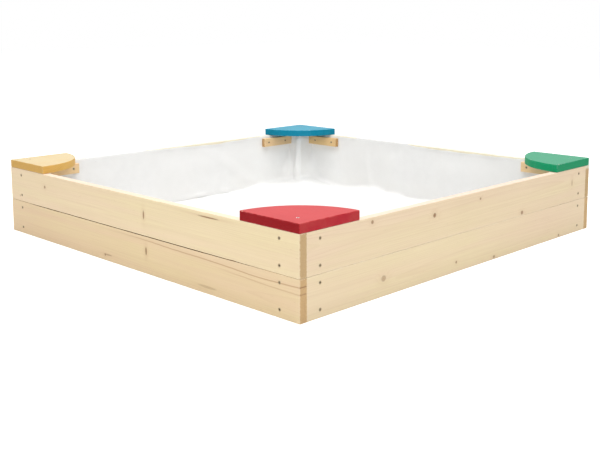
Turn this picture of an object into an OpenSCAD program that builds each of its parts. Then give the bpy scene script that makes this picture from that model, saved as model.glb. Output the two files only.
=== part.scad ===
// Square wooden sandbox with four quarter-round corner seats and a fleece liner.
// Frame: millimetres, +Z up, origin at the centre of the footprint on the ground.
// Front wall on -Y, back wall on +Y, left wall on -X, right wall on +X.

/* [Box] */
// Outer side length of the square box
side = 1200; // [1000:10:1500]
// Height of one wall board
board_h = 94; // [80:1:120]
// Thickness of the wall boards
board_t = 21; // [18:0.5:28]
// Open joint between the lower and the upper board
board_gap = 0.6; // [0.2:0.1:3]
// Easing of the long board edges
board_ease = 1.2; // [0.5:0.1:2.5]

/* [Posts and rails] */
// Width of the square corner posts
post_w = 60; // [50:1:75]
// Height of the rails
rail_h = 30; // [24:1:50]
// Width of the rails
rail_w = 14; // [12:1:22]
// Gap between the top of a rail and the seat
rail_drop = 9.6; // [2:0.1:20]
// Distance from the outer corner to the free end of a rail at the red, green, blue and yellow seat
rail_reach = [213, 206, 220, 206];
// Easing of the rail and post edges
rail_ease = 1; // [0.4:0.1:2]

/* [Seats] */
// Radius of the quarter-round seats
seat_r = 184; // [165:1:230]
// Thickness of the seats
seat_t = 22; // [18:1:28]
// Easing of the seat edges
seat_ease = 1.4; // [0.5:0.1:3]

/* [Liner] */
// Thickness of the fleece liner
liner_t = 1; // [0.6:0.1:1.5]
// Air between the liner and the wood
liner_air = 0.3; // [0.2:0.1:1]
// How far the liner's edge stays below the top of the walls
liner_drop = 2; // [1:0.5:5]

/* [Fasteners] */
// Head diameter of the countersunk wood screws
head_d = 8; // [7:0.2:9]
// Shank diameter of the wood screws
shank_d = 4; // [3.5:0.1:4.5]
// Length of the wall screws
wall_screw_l = 50; // [45:1:60]
// Length of the seat screws
seat_screw_l = 50; // [45:1:55]
// Length of the rail screws
rail_screw_l = 30; // [24:1:34]
// Distance of the wall screws from a board's long edge
screw_edge = 18; // [12:1:24]
// Number of staples along one wall
staples = 7; // [3:1:9]

/* [Hidden] */
$fn = 40;

// colours
spruce = [0.87, 0.73, 0.52];
spruce_dark = [0.82, 0.64, 0.42];
paint_red = [0.78, 0.12, 0.15];
paint_green = [0.05, 0.45, 0.25];
paint_blue = [0.05, 0.36, 0.62];
paint_yellow = [0.93, 0.72, 0.30];
fleece = [0.93, 0.93, 0.92];
zinc = [0.72, 0.73, 0.75];

// quarter turns from the front wall to each wall
front = 0;
right = 1;
back = 2;
left = 3;
// quarter turns from the front right corner to each corner
front_right = 0;
back_right = 1;
back_left = 2;
front_left = 3;

half = side / 2;
upper_z = board_h + board_gap;
wall_h = upper_z + board_h;

// wood screws and their holes
head_r = head_d / 2;
shank_r = shank_d / 2;
head_rim = 0.3;
head_cone = head_r - shank_r;
tip_l = 3 * shank_r;
recess_l = 1.1 * head_r;
recess_w = 0.9;
recess_depth = 1.7;
sink = 0.3; // heads lie this far below the wood
hole_r = shank_r + 0.1;
mouth_r = head_r + 0.2;
mouth_cone = mouth_r - hole_r;
cut_past = 1; // cutters overrun the wood
pilot_extra = 1; // pilot holes in the posts go this far past the screw tips

// wall screws: distance from the outer corner, heights on the wall
wall_screw_x = board_t + 0.65 * post_w;
wall_screw_z = [
    screw_edge, board_h - screw_edge,
    upper_z + screw_edge, wall_h - screw_edge
];

// rails stand off the wall and the post by the liner and its air
rail_off = liner_t + 2 * liner_air;
rail_start = board_t + post_w + rail_off;
rail_y = board_t + rail_off;
rail_z = wall_h - rail_drop - rail_h;
rail_screw_z = rail_z + rail_h / 2;
rail_screw_at = [0.24, 0.84]; // places as shares of the rail's length
rail_bore_l = rail_screw_l - rail_w - rail_off + 0.2; // depth in the wall, just past the tip

// seat screw, down into the post
seat_screw_x = board_t + 0.367 * post_w;
seat_screw_y = board_t + 0.283 * post_w;
// how far the bars that trim a seat run past its arc
seat_trim_past = 20;

// the liner's underside above the ground
liner_z = 0.4;

// staples
staple_w = 10;
staple_drop = 12; // below the liner's edge
staple_margin = 50; // from the longest rail's end to the outermost staples
staple_z = wall_h - liner_drop - staple_drop;
staple_step = 2 * (half - max(rail_reach) - staple_margin) / (staples - 1);
wire = 0.6;
wire_h = 1.2;
leg_l = 8;
leg_x = (staple_w - wire) / 2;
crown_y = liner_air + liner_t + 0.05;
crown_overlap = 0.05; // of the legs with the crown
slot_air = 0.15;
slot_extra = 0.4; // slots go this far past the leg tips
slot_l = leg_l + 4;

// distances of one rail's screws from the outer corner
function rail_screw_x(corner) =
    [for (share = rail_screw_at) rail_start + share * (rail_reach[corner] - rail_start)];

// ---- Placing ----

// turns children drawn for the front wall to another wall
module on_wall(wall) {
    rotate([0, 0, 90 * wall]) children();
}

// places children drawn with the outer corner at the origin, box on the -X +Y side
module at_corner(corner) {
    rotate([0, 0, 90 * corner]) translate([half, -half, 0]) children();
}

// the same shape for the other wall of the corner
module other_side() {
    mirror([1, 1, 0]) children();
}

// wall screw places on the outer face of the front wall, +Z outwards;
// $turn is the angle of the screw's recess
module wall_screw_places(rows) {
    for (end = [-1, 1]) for (row = rows) {
        $turn = 17 + 31 * row + 23 * end;
        translate([end * (half - wall_screw_x), -half, wall_screw_z[row]])
            rotate([90, 0, 0]) children();
    }
}

// staple places on the inner face of the front wall
module staple_places() {
    for (i = [0:staples - 1])
        translate([(i - (staples - 1) / 2) * staple_step, -half + board_t, staple_z])
            children();
}

// ---- Shared shapes ----

// rectangle with its four corners cut at 45 degrees
module eased(width, height, ease) {
    polygon([
        [ease, 0], [width - ease, 0], [width, ease], [width, height - ease],
        [width - ease, height], [ease, height], [0, height - ease], [0, ease]
    ]);
}

// bar along X, from the origin into +X +Y +Z
module bar(length, width, height, ease) {
    rotate([90, 0, 90]) linear_extrude(height = length) eased(width, height, ease);
}

// countersunk wood screw, point down, head sunk below the wood's face at z = 0
module screw(length, turn) {
    translate([0, 0, -sink]) difference() {
        rotate_extrude() polygon([
            [0, sink - length], [shank_r, sink - length + tip_l],
            [shank_r, -head_rim - head_cone], [head_r, -head_rim], [head_r, 0], [0, 0]
        ]);
        // cross recess, cut from above the head
        for (arm = [0, 90]) rotate([0, 0, turn + arm])
            translate([-recess_l / 2, -recess_w / 2, -recess_depth])
                cube([recess_l, recess_w, 3]);
    }
}

// countersunk hole going down through wood of this thickness, mouth at z = 0
module screw_hole(thickness) {
    depth = thickness + 2 * cut_past;
    rim_z = -sink - head_rim;
    translate([0, 0, -depth]) cylinder(h = depth, r = hole_r);
    translate([0, 0, rim_z - mouth_cone]) cylinder(h = mouth_cone, r1 = hole_r, r2 = mouth_r);
    translate([0, 0, rim_z]) cylinder(h = sink + head_rim + cut_past, r = mouth_r);
}

// bores for the rail screws of one wall, drawn for the front wall:
// outwards and inwards from the wall's inner face
module rail_screw_bores(wall, outwards, inwards) {
    for (end = [-1, 1]) {
        corner = end > 0 ? wall : (wall + 3) % 4;
        for (x = rail_screw_x(corner))
            translate([end * (half - x), -half + board_t - outwards, rail_screw_z])
                rotate([-90, 0, 0]) cylinder(h = outwards + inwards, r = hole_r);
    }
}

// slots for the two legs of each staple on the front wall
module staple_slots() {
    staple_places() for (end = [-1, 1])
        translate([
            end * leg_x - wire / 2 - slot_air,
            -leg_l - slot_extra,
            -wire_h / 2 - slot_air
        ]) cube([wire + 2 * slot_air, slot_l, wire_h + 2 * slot_air]);
}

// ---- Walls ----

// one board; the left and right boards fit between the front and back ones
module wall_board(wall, upper) {
    inset = wall == left || wall == right ? board_t : 0;
    on_wall(wall) color(spruce) difference() {
        translate([-half + inset, -half, upper ? upper_z : 0])
            bar(side - 2 * inset, board_t, board_h, board_ease);
        wall_screw_places(upper ? [2, 3] : [0, 1]) screw_hole(board_t);
        if (upper) {
            rail_screw_bores(wall, outwards = rail_bore_l, inwards = 2.5);
            staple_slots();
        }
    }
}
module wall_front_lower() { wall_board(front, upper = false); }
module wall_front_upper() { wall_board(front, upper = true); }
module wall_back_lower() { wall_board(back, upper = false); }
module wall_back_upper() { wall_board(back, upper = true); }
module wall_left_lower() { wall_board(left, upper = false); }
module wall_left_upper() { wall_board(left, upper = true); }
module wall_right_lower() { wall_board(right, upper = false); }
module wall_right_upper() { wall_board(right, upper = true); }

// ---- Posts ----

// pilot holes for the screws of the wall on the corner's -X side
module post_pilots() {
    for (z = wall_screw_z)
        translate([-wall_screw_x, wall_screw_l + pilot_extra, z])
            rotate([90, 0, 0]) cylinder(h = wall_screw_l, r = hole_r);
}

// square post with pilot holes for the screws of both walls and the seat screw
module post(corner) {
    at_corner(corner) color(spruce_dark) difference() {
        translate([-board_t - post_w, board_t, 0])
            linear_extrude(height = wall_h) eased(post_w, post_w, rail_ease);
        post_pilots();
        other_side() post_pilots();
        translate([-seat_screw_x, seat_screw_y, wall_h + seat_t - seat_screw_l - pilot_extra])
            cylinder(h = seat_screw_l, r = hole_r);
    }
}
module post_front_right() { post(front_right); }
module post_back_right() { post(back_right); }
module post_back_left() { post(back_left); }
module post_front_left() { post(front_left); }

// ---- Rails ----

// rail along the wall on the corner's -X side, clamping the liner
module rail(corner) {
    reach = rail_reach[corner];
    color(spruce_dark) difference() {
        translate([-reach, rail_y, rail_z])
            bar(reach - rail_start, rail_w, rail_h, rail_ease);
        for (x = rail_screw_x(corner))
            translate([-x, rail_y + rail_w, rail_screw_z])
                rotate([-90, 0, 0]) screw_hole(rail_w);
    }
}
module rail_a(corner) { at_corner(corner) rail(corner); }
module rail_b(corner) { at_corner(corner) other_side() rail(corner); }

module rail_front_right_a() { rail_a(front_right); }
module rail_front_right_b() { rail_b(front_right); }
module rail_back_right_a() { rail_a(back_right); }
module rail_back_right_b() { rail_b(back_right); }
module rail_back_left_a() { rail_a(back_left); }
module rail_back_left_b() { rail_b(back_left); }
module rail_front_left_a() { rail_a(front_left); }
module rail_front_left_b() { rail_b(front_left); }

// ---- Seats ----

// bar that trims the disc flush with one wall's outer face and eases that edge
module seat_trim() {
    length = seat_r + seat_trim_past;
    translate([-length, 0, 0]) bar(length, length, seat_t, seat_ease);
}

// quarter disc with eased edges, flush with the outer faces of the walls
module seat(corner, paint) {
    at_corner(corner) color(paint) translate([0, 0, wall_h]) difference() {
        intersection() {
            rotate_extrude($fn = 160) polygon([
                [0, 0], [seat_r - seat_ease, 0], [seat_r, seat_ease],
                [seat_r, seat_t - seat_ease], [seat_r - seat_ease, seat_t], [0, seat_t]
            ]);
            seat_trim();
            other_side() seat_trim();
        }
        translate([-seat_screw_x, seat_screw_y, seat_t]) screw_hole(seat_t);
    }
}
module seat_red() { seat(front_right, paint_red); }
module seat_green() { seat(back_right, paint_green); }
module seat_blue() { seat(back_left, paint_blue); }
module seat_yellow() { seat(front_left, paint_yellow); }

// ---- Liner ----

// plan outline: the inside of the box less its four posts, moved in by inset
module liner_outline(inset) {
    wall = half - board_t - inset;
    post = wall - post_w;
    polygon([
        [wall, -post], [wall, post], [post, post],
        [post, wall], [-post, wall], [-post, post],
        [-wall, post], [-wall, -post], [-post, -post],
        [-post, -wall], [post, -wall], [post, -post]
    ]);
}

// open tray with a floor, pierced by the rail screws and staples
module liner() {
    color(fleece) difference() {
        translate([0, 0, liner_z])
            linear_extrude(height = wall_h - liner_drop - liner_z) liner_outline(liner_air);
        translate([0, 0, liner_z + liner_t])
            linear_extrude(height = wall_h) liner_outline(liner_air + liner_t);
        for (wall = [front, right, back, left]) on_wall(wall) {
            rail_screw_bores(wall, outwards = cut_past, inwards = rail_off + cut_past);
            staple_slots();
        }
    }
}

// ---- Fasteners ----

// eight screws of one wall, two at each end of each board
module wall_screws(wall) {
    on_wall(wall) color(zinc) wall_screw_places([0:3]) screw(wall_screw_l, $turn);
}
module wall_screws_front() { wall_screws(front); }
module wall_screws_right() { wall_screws(right); }
module wall_screws_back() { wall_screws(back); }
module wall_screws_left() { wall_screws(left); }

// the two screws of one rail
module rail_screw_pair(corner, turn) {
    for (i = [0, 1])
        translate([-rail_screw_x(corner)[i], rail_y + rail_w, rail_screw_z])
            rotate([-90, 0, 0]) screw(rail_screw_l, turn + 40 * i);
}

// screws that hold the two rails of one corner to the walls
module rail_screws(corner) {
    at_corner(corner) color(zinc) {
        rail_screw_pair(corner, turn = 12);
        other_side() rail_screw_pair(corner, turn = 33);
    }
}
module rail_screws_front_right() { rail_screws(front_right); }
module rail_screws_back_right() { rail_screws(back_right); }
module rail_screws_back_left() { rail_screws(back_left); }
module rail_screws_front_left() { rail_screws(front_left); }

// screw through the seat down into the post
module seat_screw(corner, turn) {
    at_corner(corner) color(zinc)
        translate([-seat_screw_x, seat_screw_y, wall_h + seat_t]) screw(seat_screw_l, turn);
}
module seat_screw_red() { seat_screw(front_right, turn = 20); }
module seat_screw_green() { seat_screw(back_right, turn = 55); }
module seat_screw_blue() { seat_screw(back_left, turn = 80); }
module seat_screw_yellow() { seat_screw(front_left, turn = 5); }

// crown on the liner's inner face, two legs into the wall
module staple() {
    translate([-staple_w / 2, crown_y, -wire_h / 2]) cube([staple_w, wire, wire_h]);
    for (end = [-1, 1])
        translate([end * leg_x - wire / 2, -leg_l, -wire_h / 2])
            cube([wire, leg_l + crown_y + crown_overlap, wire_h]);
}

// row of staples that holds the liner's top edge to one wall
module staple_row(wall) {
    on_wall(wall) color(zinc) staple_places() staple();
}
module staples_front() { staple_row(front); }
module staples_right() { staple_row(right); }
module staples_back() { staple_row(back); }
module staples_left() { staple_row(left); }

wall_front_lower();
wall_front_upper();
wall_back_lower();
wall_back_upper();
wall_left_lower();
wall_left_upper();
wall_right_lower();
wall_right_upper();
post_front_right();
post_back_right();
post_back_left();
post_front_left();
rail_front_right_a();
rail_front_right_b();
rail_back_right_a();
rail_back_right_b();
rail_back_left_a();
rail_back_left_b();
rail_front_left_a();
rail_front_left_b();
seat_red();
seat_green();
seat_blue();
seat_yellow();
liner();
wall_screws_front();
wall_screws_right();
wall_screws_back();
wall_screws_left();
rail_screws_front_right();
rail_screws_back_right();
rail_screws_back_left();
rail_screws_front_left();
seat_screw_red();
seat_screw_green();
seat_screw_blue();
seat_screw_yellow();
staples_front();
staples_right();
staples_back();
staples_left();
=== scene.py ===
import bpy, bmesh, math
import numpy as np
from mathutils import Vector, Matrix, noise as mnoise


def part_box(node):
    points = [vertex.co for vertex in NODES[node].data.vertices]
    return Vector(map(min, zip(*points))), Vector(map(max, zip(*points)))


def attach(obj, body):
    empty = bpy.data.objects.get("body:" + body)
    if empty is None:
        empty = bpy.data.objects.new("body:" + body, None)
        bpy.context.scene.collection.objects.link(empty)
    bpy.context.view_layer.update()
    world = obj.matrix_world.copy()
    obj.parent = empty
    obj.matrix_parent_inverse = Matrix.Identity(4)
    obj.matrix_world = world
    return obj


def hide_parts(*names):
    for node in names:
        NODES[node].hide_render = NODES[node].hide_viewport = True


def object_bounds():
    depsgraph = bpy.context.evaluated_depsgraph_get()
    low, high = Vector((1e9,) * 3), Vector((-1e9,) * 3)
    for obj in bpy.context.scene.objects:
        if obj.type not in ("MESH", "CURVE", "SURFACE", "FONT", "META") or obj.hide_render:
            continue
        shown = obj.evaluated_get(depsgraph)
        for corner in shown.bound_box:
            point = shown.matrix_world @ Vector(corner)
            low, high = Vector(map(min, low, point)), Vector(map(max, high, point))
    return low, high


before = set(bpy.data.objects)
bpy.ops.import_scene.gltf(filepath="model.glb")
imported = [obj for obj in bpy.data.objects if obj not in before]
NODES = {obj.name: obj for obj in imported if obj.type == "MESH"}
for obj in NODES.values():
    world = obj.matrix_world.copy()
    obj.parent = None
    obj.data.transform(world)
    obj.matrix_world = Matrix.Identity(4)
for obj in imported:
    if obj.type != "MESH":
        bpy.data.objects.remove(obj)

CAD_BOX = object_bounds()

# ---------------------------------------------------------------- sizes, all from the frame
lo, hi = CAD_BOX
HALF = hi.x                                    # half the outer side
b0, b1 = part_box("wall_front_lower")
BT, BH = b1.y - b0.y, b1.z - b0.z              # board thickness and height
u0, u1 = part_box("wall_front_upper")
ZU, WALL_H = u0.z, u1.z                        # foot of the upper board, top of the wall
p0, p1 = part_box("post_front_right")
POST = p1.x - p0.x
s0, s1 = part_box("seat_red")
SEAT_R, SEAT_T = s1.x - s0.x, s1.z - s0.z
r0, r1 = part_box("rail_front_right_a")
RAIL_W, RAIL_H = r1.y - r0.y, r1.z - r0.z
RAIL_Y = r0.y + HALF                           # outer face to the rail's outer side
RAIL_IN = HALF - r1.x                          # outer corner to the rail's near end
RAIL_Z, RAIL_TOP = r0.z, r1.z
WALLS = ["front", "right", "back", "left"]
CORNERS = ["front_right", "back_right", "back_left", "front_left"]
COLOURS = ["red", "green", "blue", "yellow"]

# fasteners, as in the frame
SCREW_IN = 0.060                               # wall screws, from the outer corner
SCREW_Z = (0.018, BH - 0.018, ZU + 0.018, WALL_H - 0.018)
SINK, HOLE_R, MOUTH_R, HEAD_R = 0.0003, 0.0021, 0.0042, 0.004
REACH = []                                     # outer corner to the rail's free end, by corner
for c in CORNERS:
    q0, q1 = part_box(f"rail_{c}_a")
    REACH.append(RAIL_IN + max(q1.x - q0.x, q1.y - q0.y))
RAIL_SCREW_Z = RAIL_Z + RAIL_H / 2


def rail_screws_in(k):
    n = REACH[k] - RAIL_IN
    return RAIL_IN + 0.24 * n, RAIL_IN + 0.84 * n


def corner_at(k, x):
    """Corner at the end of wall k towards which x points."""
    return k if x > 0 else (k + 3) % 4


SEAT_X, SEAT_Y = BT + 0.367 * POST, BT + 0.283 * POST
t0, t1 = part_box("staples_front")
STAPLE_Z = (t0.z + t1.z) / 2
STAPLE_X = [(i - 3) * (t1.x - t0.x - 0.010) / 6 for i in range(7)]


# ---------------------------------------------------------------- small helpers
def rot_z(k):
    return Matrix.Rotation(math.radians(90 * k), 4, "Z")


def new_mesh(name, verts, faces, smooth=True):
    me = bpy.data.meshes.new(name)
    me.from_pydata([tuple(v) for v in verts], [], [tuple(f) for f in faces])
    me.update()
    ob = bpy.data.objects.new(name, me)
    bpy.context.scene.collection.objects.link(ob)
    if smooth:
        for p in me.polygons:
            p.use_smooth = True
    return ob


def tidy(ob, sharp=None):
    bm = bmesh.new(); bm.from_mesh(ob.data)
    bmesh.ops.remove_doubles(bm, verts=bm.verts, dist=1e-6)
    bmesh.ops.recalc_face_normals(bm, faces=bm.faces)
    bm.to_mesh(ob.data); bm.free()
    for p in ob.data.polygons:
        p.use_smooth = True
    if sharp is not None:
        ob.data.set_sharp_from_angle(angle=math.radians(sharp))


def apply_mods(ob):
    dg = bpy.context.evaluated_depsgraph_get()
    dg.update()
    me = bpy.data.meshes.new_from_object(ob.evaluated_get(dg), depsgraph=dg)
    ob.modifiers.clear()
    old = ob.data
    ob.data = me
    me.name = ob.name
    bpy.data.meshes.remove(old)


def cut(ob, cutter):
    m = ob.modifiers.new("cut", "BOOLEAN")
    m.operation, m.solver, m.object = "DIFFERENCE", "EXACT", cutter
    apply_mods(ob)
    bpy.data.objects.remove(cutter)


def join(name, obs):
    bpy.ops.object.select_all(action="DESELECT")
    for o in obs:
        o.select_set(True)
    bpy.context.view_layer.objects.active = obs[0]
    if len(obs) > 1:
        bpy.ops.object.join()
    obs[0].name = name; obs[0].data.name = name
    return obs[0]


def revolve(name, profile, segs, matrix):
    """Closed solid of revolution about local Z from (r, z) points, both ends on the axis."""
    verts, faces = [], []
    rings = []
    for r, z in profile:
        if r < 1e-9:
            rings.append([len(verts)]); verts.append(Vector((0, 0, z)))
        else:
            rings.append(list(range(len(verts), len(verts) + segs)))
            verts += [Vector((r * math.cos(2 * math.pi * i / segs), r * math.sin(2 * math.pi * i / segs), z)) for i in range(segs)]
    for A, B in zip(rings, rings[1:]):
        for i in range(segs):
            j = (i + 1) % segs
            if len(A) == 1:
                faces.append((A[0], B[i], B[j]))
            elif len(B) == 1:
                faces.append((A[i], A[j], B[0]))
            else:
                faces.append((A[i], A[j], B[j], B[i]))
    ob = new_mesh(name, [matrix @ v for v in verts], faces)
    tidy(ob)
    return ob


def box_at(name, lo, hi, matrix=None):
    matrix = matrix or Matrix.Identity(4)
    v = [matrix @ Vector((x, y, z)) for x in (lo[0], hi[0]) for y in (lo[1], hi[1]) for z in (lo[2], hi[2])]
    f = [(0, 1, 3, 2), (4, 6, 7, 5), (0, 4, 5, 1), (2, 3, 7, 6), (0, 2, 6, 4), (1, 5, 7, 3)]
    ob = new_mesh(name, v, f)
    tidy(ob)
    return ob


def wave(x, seed, f=1.0):
    """Smooth 1-D noise, about -1 to 1."""
    return mnoise.noise(Vector((x * f, seed * 7.31 + 0.37, seed * 1.7 - 3.1))) * 1.7


# ---------------------------------------------------------------- node helpers
class Nodes:
    def __init__(self, name):
        self.mat = bpy.data.materials.new(name)
        self.mat.use_nodes = True
        self.nt = self.mat.node_tree
        self.nt.nodes.clear()
        self.out = self.nt.nodes.new("ShaderNodeOutputMaterial")
        self.bsdf = self.nt.nodes.new("ShaderNodeBsdfPrincipled")
        self.nt.links.new(self.bsdf.outputs[0], self.out.inputs["Surface"])

    def put(self, socket, v):
        if isinstance(v, bpy.types.NodeSocket):
            self.nt.links.new(v, socket)
        elif isinstance(v, (tuple, list)) and len(v) == 3 and socket.type == "RGBA":
            socket.default_value = (*v, 1)
        else:
            socket.default_value = v

    def m(self, op, a, b=None, c=None, clamp=False):
        n = self.nt.nodes.new("ShaderNodeMath"); n.operation = op; n.use_clamp = clamp
        for i, v in enumerate((a, b, c)):
            if v is not None:
                self.put(n.inputs[i], v)
        return n.outputs[0]

    def add(self, a, b): return self.m("ADD", a, b)
    def sub(self, a, b): return self.m("SUBTRACT", a, b)
    def mul(self, a, b): return self.m("MULTIPLY", a, b)
    def mad(self, a, b, c): return self.m("MULTIPLY_ADD", a, b, c)

    def xyz(self, x, y, z):
        n = self.nt.nodes.new("ShaderNodeCombineXYZ")
        for i, v in enumerate((x, y, z)):
            self.put(n.inputs[i], v)
        return n.outputs[0]

    def sep(self, v):
        n = self.nt.nodes.new("ShaderNodeSeparateXYZ"); self.put(n.inputs[0], v)
        return n.outputs[0], n.outputs[1], n.outputs[2]

    def noise(self, v, scale=1.0, detail=2.0, rough=0.5, dist=0.0):
        n = self.nt.nodes.new("ShaderNodeTexNoise"); n.noise_dimensions = "3D"
        self.put(n.inputs["Vector"], v); self.put(n.inputs["Scale"], scale)
        n.inputs["Detail"].default_value = detail; n.inputs["Roughness"].default_value = rough
        n.inputs["Distortion"].default_value = dist
        return n.outputs["Fac"]

    def voronoi(self, v, scale, feature="F1", out="Distance", rnd=1.0):
        n = self.nt.nodes.new("ShaderNodeTexVoronoi"); n.feature = feature
        self.put(n.inputs["Vector"], v); n.inputs["Scale"].default_value = scale
        n.inputs["Randomness"].default_value = rnd
        return n.outputs[out]

    def step(self, x, e0, e1, a=0.0, b=1.0):
        """a below e0, b above e1, smooth between. e0 may be above e1."""
        n = self.nt.nodes.new("ShaderNodeMapRange"); n.interpolation_type = "SMOOTHSTEP"
        if e0 > e1:
            e0, e1, a, b = e1, e0, b, a
        self.put(n.inputs["Value"], x)
        n.inputs["From Min"].default_value = e0; n.inputs["From Max"].default_value = e1
        n.inputs["To Min"].default_value = a; n.inputs["To Max"].default_value = b
        return n.outputs[0]

    def lin(self, x, e0, e1, a=0.0, b=1.0):
        n = self.nt.nodes.new("ShaderNodeMapRange")
        self.put(n.inputs["Value"], x)
        n.inputs["From Min"].default_value = e0; n.inputs["From Max"].default_value = e1
        n.inputs["To Min"].default_value = a; n.inputs["To Max"].default_value = b
        return n.outputs[0]

    def ramp(self, f, stops, interp="LINEAR"):
        n = self.nt.nodes.new("ShaderNodeValToRGB"); n.color_ramp.interpolation = interp
        el = n.color_ramp.elements
        while len(el) > 1:
            el.remove(el[-1])
        for i, (p, c) in enumerate(stops):
            e = el[0] if i == 0 else el.new(p)
            e.position = p
            e.color = (c, c, c, 1) if isinstance(c, (int, float)) else (*c, 1)
        self.put(n.inputs[0], f)
        return n.outputs[0]

    def mix(self, f, a, b, blend="MIX"):
        n = self.nt.nodes.new("ShaderNodeMix"); n.data_type = "RGBA"; n.blend_type = blend
        n.clamp_factor = True
        self.put(n.inputs[0], f); self.put(n.inputs[6], a); self.put(n.inputs[7], b)
        return n.outputs[2]

    def object_point(self):
        n = self.nt.nodes.new("ShaderNodeTexCoord")
        return n.outputs["Object"], n.outputs["Normal"]

    def turn(self, v, angle):
        n = self.nt.nodes.new("ShaderNodeVectorRotate"); n.rotation_type = "Z_AXIS"
        self.put(n.inputs["Vector"], v); n.inputs["Angle"].default_value = angle
        return n.outputs[0]

    def bump(self, height, strength, distance, normal=None):
        n = self.nt.nodes.new("ShaderNodeBump")
        n.inputs["Strength"].default_value = strength; n.inputs["Distance"].default_value = distance
        self.put(n.inputs["Height"], height)
        if normal is not None:
            self.put(n.inputs["Normal"], normal)
        return n.outputs[0]

    def second(self, ds):
        """Second smallest of some distances: on a surface one of them is nil, so this is the distance to the nearest edge."""
        lowest = self.m("MINIMUM", ds[0], ds[1]); second = self.m("MAXIMUM", ds[0], ds[1])
        for d in ds[2:]:
            second = self.m("MINIMUM", second, self.m("MAXIMUM", lowest, d))
            lowest = self.m("MINIMUM", lowest, d)
        return second

    def done(self, color, rough, normal=None, spec=0.5, **extra):
        self.put(self.bsdf.inputs["Base Color"], color)
        self.put(self.bsdf.inputs["Roughness"], rough)
        if normal is not None:
            self.put(self.bsdf.inputs["Normal"], normal)
        self.put(self.bsdf.inputs["Specular IOR Level"], spec)
        for k, v in extra.items():
            self.put(self.bsdf.inputs[k.replace("_", " ")], v)
        return self.mat


# ---------------------------------------------------------------- wood
# early and late wood, linear colours
EARLY, LATE = (0.835, 0.695, 0.475), (0.640, 0.450, 0.255)
PINK, YELLOW = (0.825, 0.660, 0.470), (0.820, 0.705, 0.450)


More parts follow.
